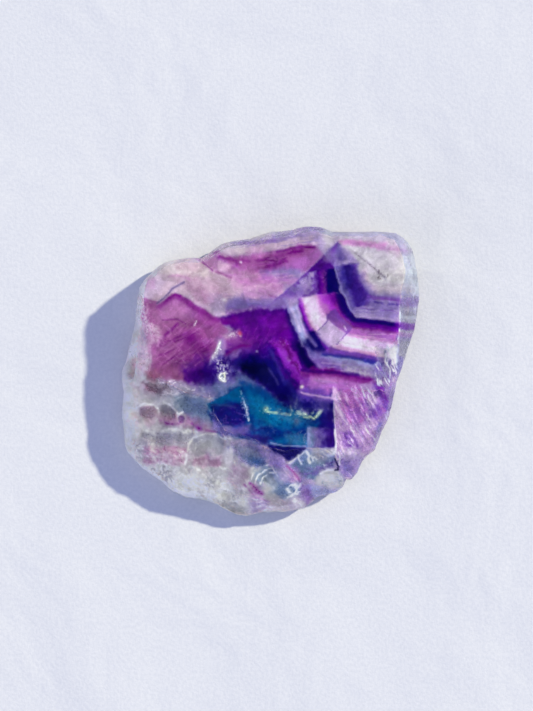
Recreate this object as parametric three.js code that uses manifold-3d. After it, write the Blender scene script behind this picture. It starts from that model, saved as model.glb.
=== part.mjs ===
// A slice of banded fluorite: one thick slab of crystal, sawn flat underneath and polished flat on
// top, with its broken natural rim left on. Millimetres, +Z up. The origin is on the sawn underside,
// in the middle of the slice's bounding box.
import * as THREE from "three";
import { ImprovedNoise } from "three/addons/math/ImprovedNoise.js";
import { mergeVertices } from "three/addons/utils/BufferGeometryUtils.js";
import Module from "manifold-3d";

// ---- Driving dimensions
const THICKNESS = 15; // sawn underside to polished face
const WAIST = 4; // height at which the broken rim reaches furthest out
const FOOT_INSET = 1.4; // how far the edge of the sawn underside lies inside the outline
const RIM_RINGS = 5; // rings of facets between the waist and the polished face
const RIM_BULGE = 1.5; // how long the rim stays steep before it leans in to the polished face
const RIM_STRAY = { foot: 0.4, waist: 0.8, inset: 0.5, height: 0.6 }; // how far its corners stray
const STONE_COLOUR = 0x6a3aa0;
const STONE_ROUGHNESS = 0.2;

// ---- The outline seen from above: its corners, clockwise from the right-hand side. The third
// number is the land: how far the edge of the polished face lies inside that corner.
const OUTLINE = [
  [47.9, 23.8, 5.5], [47.3, 19.4, 5.5], [46.3, 13.0, 5], [45.0, 10.1, 4.5], [43.4, 4.3, 4],
  [41.7, -0.5, 3.5], [40.6, -3.5, 3], [39.8, -7.5, 3], [38.6, -13.1, 3], [37.7, -15.8, 2.5],
  [35.9, -19.0, 2.5], [34.8, -22.1, 2.5], [33.5, -25.3, 2], [31.9, -26.6, 2], [30.0, -27.8, 2],
  [28.9, -30.2, 2], [27.9, -32.6, 1.8], [26.3, -34.6, 1.5], [25.2, -35.0, 1.5], [24.2, -34.6, 1.5],
  [23.6, -36.5, 1.5], [22.6, -38.2, 2], [19.6, -39.5, 2], [15.4, -40.3, 2], [13.4, -42.1, 2],
  [11.0, -43.7, 2], [7.8, -44.7, 2], [4.9, -45.2, 2], [-2.8, -45.4, 2], [-6.0, -46.2, 2],
  [-7.6, -46.6, 2], [-10.8, -46.2, 2], [-13.0, -45.1, 2], [-15.3, -44.2, 2], [-17.2, -42.9, 2],
  [-20.4, -41.6, 2], [-24.2, -41.0, 2], [-27.6, -40.5, 2], [-31.8, -38.4, 2], [-35.4, -35.2, 2],
  [-39.8, -32.5, 2], [-42.5, -30.1, 2], [-45.0, -27.2, 2], [-46.3, -25.8, 2], [-47.0, -23.2, 2],
  [-47.1, -19.4, 2], [-47.8, -14.9, 2], [-47.9, -11.7, 2], [-47.3, -6.7, 2], [-48.0, -2.7, 2],
  [-47.8, 0.3, 2], [-46.5, 3.7, 2], [-45.6, 8.3, 2], [-44.6, 11.7, 2], [-43.6, 15.8, 2],
  [-43.4, 19.7, 1.8], [-42.8, 23.0, 1.5], [-42.3, 27.0, 1.2], [-40.6, 29.6, 1], [-38.3, 31.9, 0.9],
  [-35.4, 34.4, 0.9], [-33.0, 35.6, 0.8], [-27.3, 36.5, 0.8], [-24.9, 36.8, 0.8],
  [-22.6, 36.3, 0.9], [-21.0, 37.3, 1.4], [-16.2, 40.8, 1.8], [-13.5, 41.8, 2], [-6.6, 42.7, 2.2],
  [-3.8, 43.7, 2.2], [0.1, 45.0, 2], [6.2, 45.2, 1.4], [8.4, 46.1, 1.4], [11.4, 46.7, 1.5],
  [15.4, 46.6, 1.6], [17.7, 46.0, 1.5], [19.9, 45.0, 1], [28.2, 44.8, 0.8], [30.8, 45.1, 0.8],
  [35.6, 45.0, 1], [40.4, 44.5, 1.6], [42.3, 43.4, 2.4], [44.4, 41.4, 3], [45.8, 38.9, 3],
  [46.6, 35.4, 3.2], [47.3, 31.2, 4], [47.8, 27.4, 5],
];

// ---- The natural skin, left unpolished down the left side and round the bottom. Each row runs
// from a point on the edge of the polished face to a point beyond the rim: ledge is the drop off
// the polished face, and foot the height that the skin falls to.
const SKIN = [
  { edge: [-41.8, 24.6], beyond: [-47.5, 25.6], ledge: 0.0, foot: 4.5 },
  { edge: [-39.7, 20.4], beyond: [-49.5, 20.0], ledge: 0.1, foot: 3.5 },
  { edge: [-38.8, 15.0], beyond: [-50.0, 14.0], ledge: 0.2, foot: 3.5 },
  { edge: [-38.0, 9.4], beyond: [-51.5, 7.0], ledge: 0.2, foot: 4 },
  { edge: [-38.3, 3.4], beyond: [-53.5, -0.5], ledge: 0.3, foot: 5 },
  { edge: [-37.4, -0.8], beyond: [-54.5, -8.0], ledge: 0.5, foot: 6 },
  { edge: [-35.4, -2.6], beyond: [-54.5, -16.5], ledge: 0.7, foot: 6.5 },
  { edge: [-31.6, -4.2], beyond: [-53.0, -25.5], ledge: 0.9, foot: 7 },
  { edge: [-27.4, -6.6], beyond: [-49.0, -33.5], ledge: 0.9, foot: 7.5 },
  { edge: [-22.8, -7.6], beyond: [-42.5, -40.0], ledge: 0.8, foot: 8 },
  { edge: [-18.6, -9.0], beyond: [-35.5, -44.5], ledge: 0.6, foot: 8 },
  { edge: [-18.2, -13.2], beyond: [-28.5, -47.5], ledge: 0.9, foot: 7.5 },
  { edge: [-14.6, -18.8], beyond: [-21.5, -49.5], ledge: 1.1, foot: 7 },
  { edge: [-10.6, -20.4], beyond: [-14.5, -51.5], ledge: 0.8, foot: 6.5 },
  { edge: [-6.4, -21.8], beyond: [-7.5, -52.5], ledge: 0.7, foot: 6 },
  { edge: [-1.8, -24.0], beyond: [-0.5, -52.5], ledge: 0.9, foot: 5.5 },
  { edge: [4.6, -25.4], beyond: [7.0, -51.0], ledge: 1.2, foot: 5 },
  { edge: [11.2, -24.4], beyond: [15.5, -48.5], ledge: 1.3, foot: 4.5 },
  { edge: [16.4, -24.8], beyond: [21.5, -45.5], ledge: 1.2, foot: 4.5 },
  { edge: [20.6, -26.4], beyond: [25.0, -42.5], ledge: 1.0, foot: 5 },
];
const SKIN_COLUMNS = 5; // facets along the skin from one row to the next
const SKIN_FACETS = 22; // facets from the polished face to the rim
const SKIN_BELLY = 1.7; // how long the skin stays high before it falls to the rim
const SKIN_LEAD_IN = 1.5; // how soon it turns rough, going out from the polished face
const LUMPS = [
  { across: 9, height: 0.6 },
  { across: 4.2, height: 0.4 },
  { across: 1.9, height: 0.3 },
];

// ---- The skin is broken into shelves. Each is the ground nearest to its middle (x, y), lies drop
// below the skin's general fall, and is tilted so that it falls towards (degrees) at slope degrees.
const SHELVES = [
  { x: -43.4, y: 21.0, drop: 0.0, towards: 150, slope: 6 },
  { x: -44.0, y: 12.0, drop: 0.5, towards: 200, slope: 8 },
  { x: -42.0, y: 5.0, drop: 0.1, towards: 240, slope: 6 },
  { x: -45.6, y: 0.0, drop: 0.9, towards: 190, slope: 12 },
  { x: -40.4, y: -4.0, drop: 0.2, towards: 250, slope: 9 },
  { x: -34.0, y: -4.8, drop: 0.0, towards: -110, slope: 14 },
  { x: -27.0, y: -7.6, drop: 0.1, towards: -110, slope: 16 },
  { x: -20.4, y: -9.6, drop: 0.0, towards: -110, slope: 10 },
  { x: -44.0, y: -9.6, drop: 0.9, towards: 170, slope: 10 },
  { x: -35.6, y: -9.4, drop: 0.9, towards: -60, slope: 8 },
  { x: -27.2, y: -11.8, drop: 1.1, towards: -20, slope: 7 },
  { x: -21.4, y: -13.6, drop: 0.5, towards: -110, slope: 9 },
  { x: -44.8, y: -18.4, drop: 0.5, towards: 190, slope: 14 },
  { x: -37.6, y: -17.6, drop: 0.4, towards: -80, slope: 7 },
  { x: -30.6, y: -17.0, drop: 0.3, towards: -100, slope: 9 },
  { x: -35.6, y: -22.6, drop: 1.5, towards: 90, slope: 7 },
  { x: -28.6, y: -22.0, drop: 1.4, towards: 80, slope: 6 },
  { x: -42.6, y: -25.6, drop: 1.0, towards: 210, slope: 12 },
  { x: -34.6, y: -28.4, drop: 0.6, towards: -120, slope: 10 },
  { x: -26.4, y: -28.2, drop: 1.0, towards: -60, slope: 8 },
  { x: -20.2, y: -21.0, drop: 0.5, towards: -130, slope: 8 },
  { x: -15.6, y: -24.6, drop: 0.2, towards: -70, slope: 10 },
  { x: -18.0, y: -30.6, drop: 1.3, towards: 100, slope: 8 },
  { x: -31.6, y: -34.4, drop: 1.6, towards: -130, slope: 14 },
  { x: -23.6, y: -35.4, drop: 0.8, towards: -100, slope: 14 },
  { x: -15.4, y: -37.6, drop: 1.5, towards: -60, slope: 12 },
  { x: -8.6, y: -33.2, drop: 0.4, towards: -110, slope: 9 },
  { x: -8.2, y: -41.4, drop: 1.6, towards: -120, slope: 16 },
  { x: -2.6, y: -27.4, drop: 0.9, towards: -30, slope: 8 },
  { x: 3.6, y: -33.6, drop: 0.3, towards: -70, slope: 10 },
  { x: 1.0, y: -41.6, drop: 1.0, towards: -80, slope: 18 },
  { x: 9.4, y: -38.8, drop: 1.5, towards: -50, slope: 14 },
  { x: 8.8, y: -28.0, drop: 0.7, towards: 240, slope: 8 },
  { x: 16.6, y: -27.6, drop: 0.4, towards: -60, slope: 10 },
  { x: 14.8, y: -34.2, drop: 1.0, towards: -30, slope: 9 },
  { x: 20.6, y: -34.2, drop: 1.6, towards: -80, slope: 12 },
];
const SHELF_WANDER = { across: 3.6, reach: 1.7 }; // how the edges of the shelves wander

// ---- Flat cleavage breaks down the right side and at the lower right corner. Each starts on a
// line at height z through (x, y) and falls away in the direction towards (degrees from +X,
// anticlockwise) at slope degrees, over a strip wide across and, where it has an end, long.
const CLEAVAGES = [
  { x: 20.2, y: -15, z: 14.6, towards: -3, slope: 3, wide: 19 },
  { x: 33.4, y: -12, z: 12.9, towards: -24, slope: 36, wide: 30 },
  { x: 21.8, y: -28, z: 13.0, towards: -44, slope: 18, wide: 12 },
  { x: 28.6, y: -24.5, z: 12.2, towards: -48, slope: 42, wide: 16 },
  { x: 36.2, y: 3.0, z: 14.7, towards: -22, slope: 40, wide: 15 },
  { x: 34.6, y: 8.8, z: 14.8, towards: -66, slope: 20, wide: 4.2, long: 13 },
  { x: 38.4, y: 6.4, z: 13.6, towards: -74, slope: 30, wide: 4.6, long: 12 },
  { x: 42, y: 15.5, z: 15, towards: -8, slope: 54, wide: 30 },
  { x: 42.6, y: 34, z: 15, towards: 12, slope: 50, wide: 18 },
  { x: 41.2, y: 40.6, z: 15, towards: 44, slope: 48, wide: 14 },
];

// ---- Splinter steps: thin ledges side by side, running down the lower right corner from its left
// and upper sides. Each is tilted about its own length like a louvre, falls along it, and lies
// lower than the one before. Its cut runs on under the next step by overlap.
const SPLINTERS = {
  left: 20.4,
  upper: -5.6,
  first: 5.6,
  count: 12,
  pitch: 2.0,
  along: -58,
  top: 14.3,
  lower: 0.22,
  fall: 5,
  tilt: 15,
  stray: { tilt: 0.4, fall: 0.4, turn: 3, start: 1.6 },
  overlap: 1.9,
};

// ---- Shell-shaped chips: hollows with semi-axes rx, ry and depth, turned by turn degrees and
// sunk with their middle at (x, y, z). Rings is how many shells are nested in one another.
const CHIPS = [
  { x: -38.9, y: -14.3, z: 13.9, rx: 2.9, ry: 3.8, depth: 2.2, turn: 0, rings: 1 },
  { x: -32.6, y: -13.4, z: 13.8, rx: 2.4, ry: 3.6, depth: 1.5, turn: 24, rings: 1 },
  { x: -28.7, y: -15.2, z: 13.3, rx: 1.1, ry: 2.0, depth: 1.2, turn: 8, rings: 1 },
  { x: -20.0, y: -24.6, z: 15.8, rx: 6.8, ry: 7.6, depth: 4.4, turn: -8, rings: 1 },
  { x: -7.4, y: -25.2, z: 16.4, rx: 8.6, ry: 4.6, depth: 4.2, turn: -27, rings: 1 },
  { x: -1.2, y: -34.6, z: 15.2, rx: 6.4, ry: 7.0, depth: 4.9, turn: 26, rings: 3 },
  { x: 14.6, y: -29.6, z: 17.0, rx: 8.4, ry: 5.4, depth: 5.3, turn: 8, rings: 2 },
  { x: -9.8, y: -43.4, z: 11.4, rx: 6.4, ry: 3.6, depth: 3.6, turn: -10, rings: 1 },
  { x: -27.4, y: -39.0, z: 10.6, rx: 6.4, ry: 2.6, depth: 2.6, turn: -28, rings: 1 },
  { x: 28.8, y: -30.8, z: 11.6, rx: 3.4, ry: 2.2, depth: 2.2, turn: -50, rings: 1 },
  { x: 44.6, y: 22.0, z: 13.6, rx: 2.0, ry: 4.6, depth: 2.2, turn: 0, rings: 1 },
  { x: 45.0, y: 39.6, z: 12.8, rx: 2.8, ry: 2.0, depth: 1.8, turn: -46, rings: 1 },
  { x: -5.2, y: 44.8, z: 13.6, rx: 7.4, ry: 2.2, depth: 2.4, turn: 12, rings: 1 },
  { x: 12.4, y: 47.4, z: 13.4, rx: 6.8, ry: 2.2, depth: 2.6, turn: 0, rings: 1 },
  { x: -17.2, y: 41.6, z: 13.2, rx: 6.0, ry: 2.0, depth: 2.4, turn: 34, rings: 1 },
  { x: -45.2, y: 3.6, z: 10.8, rx: 3.0, ry: 6.4, depth: 2.6, turn: 10, rings: 1 },
];
const CHIP_DETAIL = 2;
const CHIP_WAVER = 0.2; // how far a chip strays from a true ellipsoid, as a share of its radius
const RIPPLE = { shrink: 0.72, sink: 0.3 }; // each nested shell's size, and how much deeper it is

// ---- Pits in the polished face, where grains have dropped out along healed cracks.
const PITS = [
  { x: -14.8, y: -1.6, r: 1.0, depth: 0.7 },
  { x: 34.2, y: 31.6, r: 0.8, depth: 0.6 },
  { x: 36.2, y: 29.4, r: 1.0, depth: 0.7 },
  { x: 9.6, y: -5.0, r: 0.55, depth: 0.5 },
];

const REACH = 60; // long enough to carry any cut past the rim
const up = new THREE.Vector3(0, 0, 1);
const noise = new ImprovedNoise();
const { degToRad: radians, lerp } = THREE.MathUtils;

const wasm = await Module();
wasm.setup();

// A number from -1 to 1 that is always the same for the same whole numbers.
function jitter(i, j, k) {
  const s = Math.sin(i * 127.1 + j * 311.7 + k * 74.7) * 43758.5453;
  return 2 * (s - Math.floor(s)) - 1;
}

// A geometry's corners merged where they meet, with nothing but their positions.
function bare(geometry) {
  geometry.deleteAttribute("normal");
  geometry.deleteAttribute("uv");
  return mergeVertices(geometry, 1e-4);
}

// A geometry with each corner moved by the function place.
function reshaped(geometry, place) {
  const { position } = geometry.attributes;
  const corner = new THREE.Vector3();
  for (let i = 0; i < position.count; i++) {
    const moved = place(corner.fromBufferAttribute(position, i));
    position.setXYZ(i, moved.x, moved.y, moved.z);
  }
  return geometry;
}

// A closed geometry as a manifold solid.
function solid(geometry) {
  const { attributes, index } = bare(geometry);
  return new wasm.Manifold(
    new wasm.Mesh({
      numProp: 3,
      vertProperties: new Float32Array(attributes.position.array),
      triVerts: new Uint32Array(index.array),
    }),
  );
}

// A manifold solid as a geometry with flat facets.
function geometryOf(body) {
  const { vertProperties, triVerts } = body.getMesh();
  const geometry = new THREE.BufferGeometry();
  geometry.setAttribute("position", new THREE.BufferAttribute(vertProperties, 3));
  geometry.setIndex(new THREE.BufferAttribute(triVerts, 1));
  const faceted = geometry.toNonIndexed();
  faceted.computeVertexNormals();
  return faceted;
}

// The outline's corners anticlockwise with a point halfway along each side, each with its land and
// the direction that points into the stone.
function rimPoints() {
  const corners = OUTLINE.map(([x, y, land]) => ({ x, y, land })).reverse();
  const points = corners.flatMap((a, i) => {
    const b = corners[(i + 1) % corners.length];
    return [a, { x: (a.x + b.x) / 2, y: (a.y + b.y) / 2, land: (a.land + b.land) / 2 }];
  });
  return points.map((p, i) => {
    const before = points.at(i - 2);
    const after = points[(i + 2) % points.length];
    const inward = new THREE.Vector2(before.y - after.y, after.x - before.x).normalize();
    return { ...p, inward };
  });
}

// How far ring r of the rim lies inside point i of the outline, and how high it is.
function rimStep({ land }, i, r) {
  if (r === 0) return { inset: FOOT_INSET * (1 + RIM_STRAY.foot * jitter(i, 1, 1)), z: 0 };
  if (r === 1) return { inset: 0, z: WAIST + RIM_STRAY.waist * jitter(i, 4, 5) };
  const t = (r - 1) / RIM_RINGS;
  const inset = land * t ** RIM_BULGE + RIM_STRAY.inset * t * (1 + jitter(i, r, 2));
  return { inset, z: lerp(WAIST, THICKNESS, t) + (t < 1 ? RIM_STRAY.height * jitter(i, r, 5) : 0) };
}

// The rough slab: a drum whose rings are the sawn foot, the waist, the rim's facets and the
// polished face.
function slab() {
  const points = rimPoints();
  const sides = points.length;
  const rings = RIM_RINGS + 1;
  const drum = bare(new THREE.CylinderGeometry(1, 1, 1, sides, rings).rotateX(Math.PI / 2));
  return solid(
    reshaped(drum, ({ x, y, z }) => {
      const r = Math.round((z + 0.5) * rings);
      if (Math.hypot(x, y) < 0.5) return { x: 0, y: 0, z: THICKNESS * (r / rings) };
      const i = (Math.round((Math.atan2(y, x) / (2 * Math.PI)) * sides) + sides) % sides;
      const p = points[i];
      const { inset, z: height } = rimStep(p, i, r);
      return { x: p.x + p.inward.x * inset, y: p.y + p.inward.y * inset, z: height };
    }),
  );
}

// The height of the shelf under the point (x, y), measured from the skin's general fall.
function shelf(x, y) {
  const { across, reach } = SHELF_WANDER;
  const wx = x + reach * noise.noise(x / across, y / across, 3);
  const wy = y + reach * noise.noise(x / across, y / across, 8);
  const far = (s) => Math.hypot(s.x - wx, s.y - wy);
  const s = SHELVES.reduce((a, b) => (far(b) < far(a) ? b : a));
  const downhill = (x - s.x) * Math.cos(radians(s.towards)) + (y - s.y) * Math.sin(radians(s.towards));
  return -s.drop - downhill * Math.tan(radians(s.slope));
}

// A point of the natural skin: along counts the rows of SKIN, out runs from 0 at the polished face
// to 1 beyond the rim.
function skinPoint(along, out) {
  const k = Math.min(Math.floor(along), SKIN.length - 2);
  const between = (pick) => lerp(pick(SKIN[k]), pick(SKIN[k + 1]), along - k);
  const edge = new THREE.Vector2(between((s) => s.edge[0]), between((s) => s.edge[1]));
  const beyond = new THREE.Vector2(between((s) => s.beyond[0]), between((s) => s.beyond[1]));
  const top = THICKNESS - between((s) => s.ledge);
  const { x, y } = edge.clone().lerp(beyond, out);
  const away = out * edge.distanceTo(beyond);
  const lumps = LUMPS.map(({ across, height }) => height * noise.noise(x / across, y / across, across));
  const rough = lumps.reduce((a, b) => a + b, shelf(x, y)) * (1 - Math.exp(-away / SKIN_LEAD_IN));
  return { x, y, z: lerp(top, between((s) => s.foot), out ** SKIN_BELLY) + rough };
}

// All that was broken away above the natural skin: a block whose underside is the skin.
function skinCut() {
  const columns = (SKIN.length - 1) * SKIN_COLUMNS;
  const block = bare(new THREE.BoxGeometry(1, 1, 1, columns, SKIN_FACETS, 1));
  return solid(
    reshaped(block, ({ x, y, z }) => {
      const p = skinPoint((x + 0.5) * (SKIN.length - 1), 0.5 - y);
      return z < 0 ? p : { ...p, z: THICKNESS + REACH };
    }),
  );
}

// A block that cuts away all above a plane which starts on a line and falls away from it.
function breakCut({ x, y, z, towards, slope, wide, long = REACH }) {
  const block = new THREE.BoxGeometry(long, wide, REACH);
  block.translate(long / 2, 0, REACH / 2);
  block.rotateY(radians(slope));
  block.rotateZ(radians(towards));
  block.translate(x, y, z);
  return solid(block);
}

// The splinter step number k.
function splinterCut(k) {
  const { left, upper, first, pitch, along, top, lower, fall, tilt, stray, overlap } = SPLINTERS;
  const length = new THREE.Vector3(1, 0, 0).applyAxisAngle(up, radians(along));
  const width = new THREE.Vector3(0, 1, 0).applyAxisAngle(up, radians(along));
  const aside = first + pitch * k;
  const onset = Math.max((left - width.x * aside) / length.x, (upper - width.y * aside) / length.y);
  const wide = pitch * overlap;
  const block = new THREE.BoxGeometry(REACH, wide, REACH);
  block.translate(REACH / 2, wide / 2, REACH / 2);
  block.rotateX(radians(tilt * (1 + stray.tilt * jitter(k, 3, 9))));
  block.rotateY(radians(fall * (1 + stray.fall * jitter(k, 8, 2))));
  block.rotateZ(radians(along + stray.turn * jitter(k, 5, 1)));
  const onward = onset + stray.start * (1 + jitter(k, 7, 3));
  const from = length.multiplyScalar(onward).addScaledVector(width, aside);
  block.translate(from.x, from.y, top - lower * k);
  return solid(block);
}

// A shell-shaped hollow with a slightly wavering face, and any smaller shells nested in it.
function chipCut({ x, y, z, rx, ry, depth, turn, rings }) {
  const shells = Array.from({ length: rings }, (_, k) => {
    const size = RIPPLE.shrink ** k;
    const bowl = reshaped(new THREE.IcosahedronGeometry(1, CHIP_DETAIL), (p) =>
      p.multiplyScalar(1 + CHIP_WAVER * noise.noise(2 * p.x + x, 2 * p.y + y, 2 * p.z + k)),
    );
    bowl.scale(rx * size, ry * size, depth);
    bowl.rotateZ(radians(turn));
    bowl.translate(x, y, z - RIPPLE.sink * k);
    return solid(bowl);
  });
  return shells.reduce((whole, shell) => whole.add(shell));
}

// A small faceted pit in the polished face.
function pitCut({ x, y, r, depth }) {
  const pit = new THREE.OctahedronGeometry(1, 1);
  pit.scale(r, r, depth);
  pit.translate(x, y, THICKNESS);
  return solid(pit);
}

function stone() {
  const cuts = [
    skinCut(),
    ...CLEAVAGES.map(breakCut),
    ...Array.from({ length: SPLINTERS.count }, (_, k) => splinterCut(k)),
    ...CHIPS.map(chipCut),
    ...PITS.map(pitCut),
  ];
  return cuts.reduce((body, cut) => body.subtract(cut), slab());
}

const fluorite = new THREE.MeshStandardMaterial({
  color: STONE_COLOUR,
  roughness: STONE_ROUGHNESS,
  metalness: 0,
});
const slice = new THREE.Mesh(geometryOf(stone()), fluorite);
slice.name = "fluorite_slice";

const group = new THREE.Group();
group.add(slice);
export default group;
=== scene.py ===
"""A thick slice of banded fluorite: polished above, sawn below, with a broken natural skin."""

import math

import bmesh
import bpy
import numpy as np
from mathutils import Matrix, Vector
from mathutils.bvhtree import BVHTree


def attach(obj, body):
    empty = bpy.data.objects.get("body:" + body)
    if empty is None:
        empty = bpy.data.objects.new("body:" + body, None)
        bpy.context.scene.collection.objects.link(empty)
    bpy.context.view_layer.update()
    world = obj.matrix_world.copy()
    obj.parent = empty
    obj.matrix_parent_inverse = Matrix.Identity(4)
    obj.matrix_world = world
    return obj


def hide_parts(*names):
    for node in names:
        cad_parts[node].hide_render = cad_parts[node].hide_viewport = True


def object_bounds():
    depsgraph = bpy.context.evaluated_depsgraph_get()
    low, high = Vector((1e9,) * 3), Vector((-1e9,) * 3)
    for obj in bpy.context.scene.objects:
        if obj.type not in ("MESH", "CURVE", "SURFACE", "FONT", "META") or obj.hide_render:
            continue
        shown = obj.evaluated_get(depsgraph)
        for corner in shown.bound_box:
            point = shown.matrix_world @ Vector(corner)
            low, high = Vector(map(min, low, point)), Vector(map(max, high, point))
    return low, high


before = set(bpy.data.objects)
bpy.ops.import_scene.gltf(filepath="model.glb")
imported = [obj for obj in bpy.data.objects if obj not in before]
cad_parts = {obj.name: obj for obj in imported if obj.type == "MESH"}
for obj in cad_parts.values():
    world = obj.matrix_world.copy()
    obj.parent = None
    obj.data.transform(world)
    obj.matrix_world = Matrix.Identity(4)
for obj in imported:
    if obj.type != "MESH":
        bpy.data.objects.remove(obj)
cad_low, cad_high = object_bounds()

MM = 0.001

# ---- Sizes of the slice, in millimetres
THICKNESS = 15.0
STONE_GRAIN = 0.70  # edge of the faces that cover the stone; half of it where they face up
LOOKS_UP = 0.3  # upward part of the normal from which a face counts as facing up
FACE_LEVEL = THICKNESS - 0.12  # above this lies the polished face
SKIN_SOFTENING = 20  # times the broken skin is smoothed over
BREAK_DEPTH = 0.24  # tallest of the fine breaks on the skin
BREAK_SIZE = 2.6  # their width
BREAK_SEED = 3.0

# ---- How the colours sit in it
BAND_SLANT = 0.22  # how far the bands lean over for each millimetre of depth
GLOW_FROM_WITHIN = 1.28  # brightens every colour; fitted under the lights below, not measured
RIM_STARTS, RIM_FULL = -41.0, -45.6  # where the painted light on the shaded left rim fades in, across the slice
# how strongly the shaded left rim is painted paler, as painted light
RIM_PAINTED_LIGHT = 0.75
SUN_SIDE = (0.86, 0.51)  # the key light stands on this side
SHADE_TINT = np.array([0.24, 0.15, 0.05])  # added on slopes turned away from the key light
SUN_TINT = np.array([0.19, 0.14, 0.05])  # taken off on slopes turned to it

# ---- The camera looks straight down, and the picture is 533 by 711
PICTURE = (533, 711)
MM_PER_PIXEL = 0.32
VIEW_CENTRE = (-1.36, 5.12)
CAMERA_HEIGHT = 1500.0
SENSOR = 36.0

# ---- The floor, in metres
FLOOR_HALF = 1.5
FLOOR_DROP = 0.00005  # keeps it clear of the sawn underside


# ---- Colours of the stone as low sun shows it, so some light and shade is in them
TINTS = {
    "bone": (204, 190, 200),
    "warm bone": (196, 178, 190),
    "mist": (194, 172, 194),
    "pale pink": (198, 166, 196),
    "blush": (188, 130, 186),
    "rose": (176, 118, 176),
    "orchid": (165, 100, 178),
    "bright orchid": (168, 106, 204),
    "mulberry": (146, 76, 142),
    "old rose": (134, 78, 122),
    "magenta": (128, 44, 138),
    "dark magenta": (104, 12, 118),
    "electric": (152, 42, 190),
    "purple": (98, 6, 146),
    "deep purple": (66, 4, 122),
    "indigo": (36, 6, 106),
    "ink": (6, 4, 62),
    "night": (2, 4, 40),
    "navy": (12, 6, 96),
    "ultramarine": (40, 40, 140),
    "royal violet": (70, 48, 146),
    "violet": (108, 66, 160),
    "slate violet": (106, 92, 158),
    "lavender": (140, 122, 180),
    "grey lilac": (166, 150, 190),
    "cool lilac": (150, 156, 204),
    "white lilac": (228, 198, 240),
    "pearl": (214, 208, 220),
    "quartz grey": (186, 180, 194),
    "smoke": (150, 142, 160),
    "steel": (96, 118, 156),
    "slate": (76, 92, 136),
    "teal": (0, 92, 146),
    "bright teal": (16, 122, 164),
    "deep teal": (4, 50, 122),
    # mint, cream and the frost white are partly painted glints and highlights on cracks and breaks
    "mint": (198, 216, 186),
    "cream": (236, 236, 218),
    "frost and glint": (226, 226, 236),
    "weathered": (236, 224, 218),
    "ember": (232, 112, 122),
    "moss": (104, 112, 108),
    "umber": (84, 70, 84),
    "brick": (142, 84, 112),
    "mauve": (160, 114, 152),
    "ash": (178, 178, 186),
    "pewter": (142, 140, 156),
    "pale ash": (206, 206, 208),
    "chalk": (216, 216, 210),
    "dusty violet": (166, 136, 188),
}

# How dull each tint is laid: the whitest stand for frosted breaks, and partly for painted glints on them
FROSTED = {
    "frost and glint": 1.0,
    "cream": 1.0,
    "mint": 1.0,
    "chalk": 0.8,
    "pearl": 0.6,
    "pale ash": 0.6,
    "bone": 0.4,
    "ash": 0.4,
    "quartz grey": 0.3,
}

# ---- How the colours are laid
WARMTH = np.array([1.0, 1.0, 0.94])  # takes a little blue out
CONTRAST = 1.12  # about the middle tone
MIDDLE = 0.43
FADING = 0.05  # share of grey in every colour
CRISP = 0.45  # edges softer than this, in millimetres, are feathered out further
FEATHER = 1.7
RAGGED = 0.75  # how far an edge wanders, for each millimetre of its softness
NOTHING = 1e-12  # keeps a division by a length of zero from failing


def trace(path):
    """The points of a line written "x,y x,y", in millimetres; a list of points stays as it is."""
    if isinstance(path, list):
        return path
    return [tuple(float(number) for number in point.split(",")) for point in path.split()]


def tint_of(name):
    return np.array(TINTS[name]) / 255


def hashed(i, j, seed):
    """The same scattered number from -1 to 1 for the same whole numbers."""
    mixed = (i * 374761393 + j * 668265263 + seed * 1442695041) & 0xFFFFFFFF
    mixed = ((mixed ^ (mixed >> 13)) * 1274126177) & 0xFFFFFFFF
    return ((mixed ^ (mixed >> 16)) & 0xFFFF) / 32767.5 - 1.0


def ripple(x, y, seed=0):
    """Smooth noise from -1 to 1 with a cell of one unit."""
    i, j = np.floor(x).astype(np.int64), np.floor(y).astype(np.int64)
    u, v = x - i, y - j
    u, v = u * u * (3 - 2 * u), v * v * (3 - 2 * v)
    low = hashed(i, j, seed) * (1 - u) + hashed(i + 1, j, seed) * u
    high = hashed(i, j + 1, seed) * (1 - u) + hashed(i + 1, j + 1, seed) * u
    return low * (1 - v) + high * v


def rough(x, y, seed=0):
    """Three ripples laid over each other, each about twice as fine as the one before."""
    broad = 0.6 * ripple(x, y, seed)
    finer = 0.28 * ripple(2.1 * x, 2.1 * y, seed + 1)
    finest = 0.12 * ripple(4.3 * x, 4.3 * y, seed + 2)
    return broad + finer + finest


def step(low, high, value):
    """Rises smoothly from nothing at low to one at high, or falls where low is the greater."""
    t = np.clip((value - low) / (high - low), 0.0, 1.0)
    return t * t * (3 - 2 * t)


def turned(x, y, degrees):
    """The same places along and across a direction turned by these degrees."""
    c, s = np.cos(np.radians(degrees)), np.sin(np.radians(degrees))
    return x * c + y * s, -x * s + y * c


def to_segment(x, y, a, b):
    """Distance to the segment a-b, and how far along it the nearest point is."""
    dx, dy = b[0] - a[0], b[1] - a[1]
    t = np.clip(((x - a[0]) * dx + (y - a[1]) * dy) / (dx * dx + dy * dy + NOTHING), 0.0, 1.0)
    return np.hypot(x - a[0] - t * dx, y - a[1] - t * dy), t


def to_line(x, y, points):
    """Distance to a line of several segments."""
    return np.min([to_segment(x, y, a, b)[0] for a, b in zip(points, points[1:])], axis=0)


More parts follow.
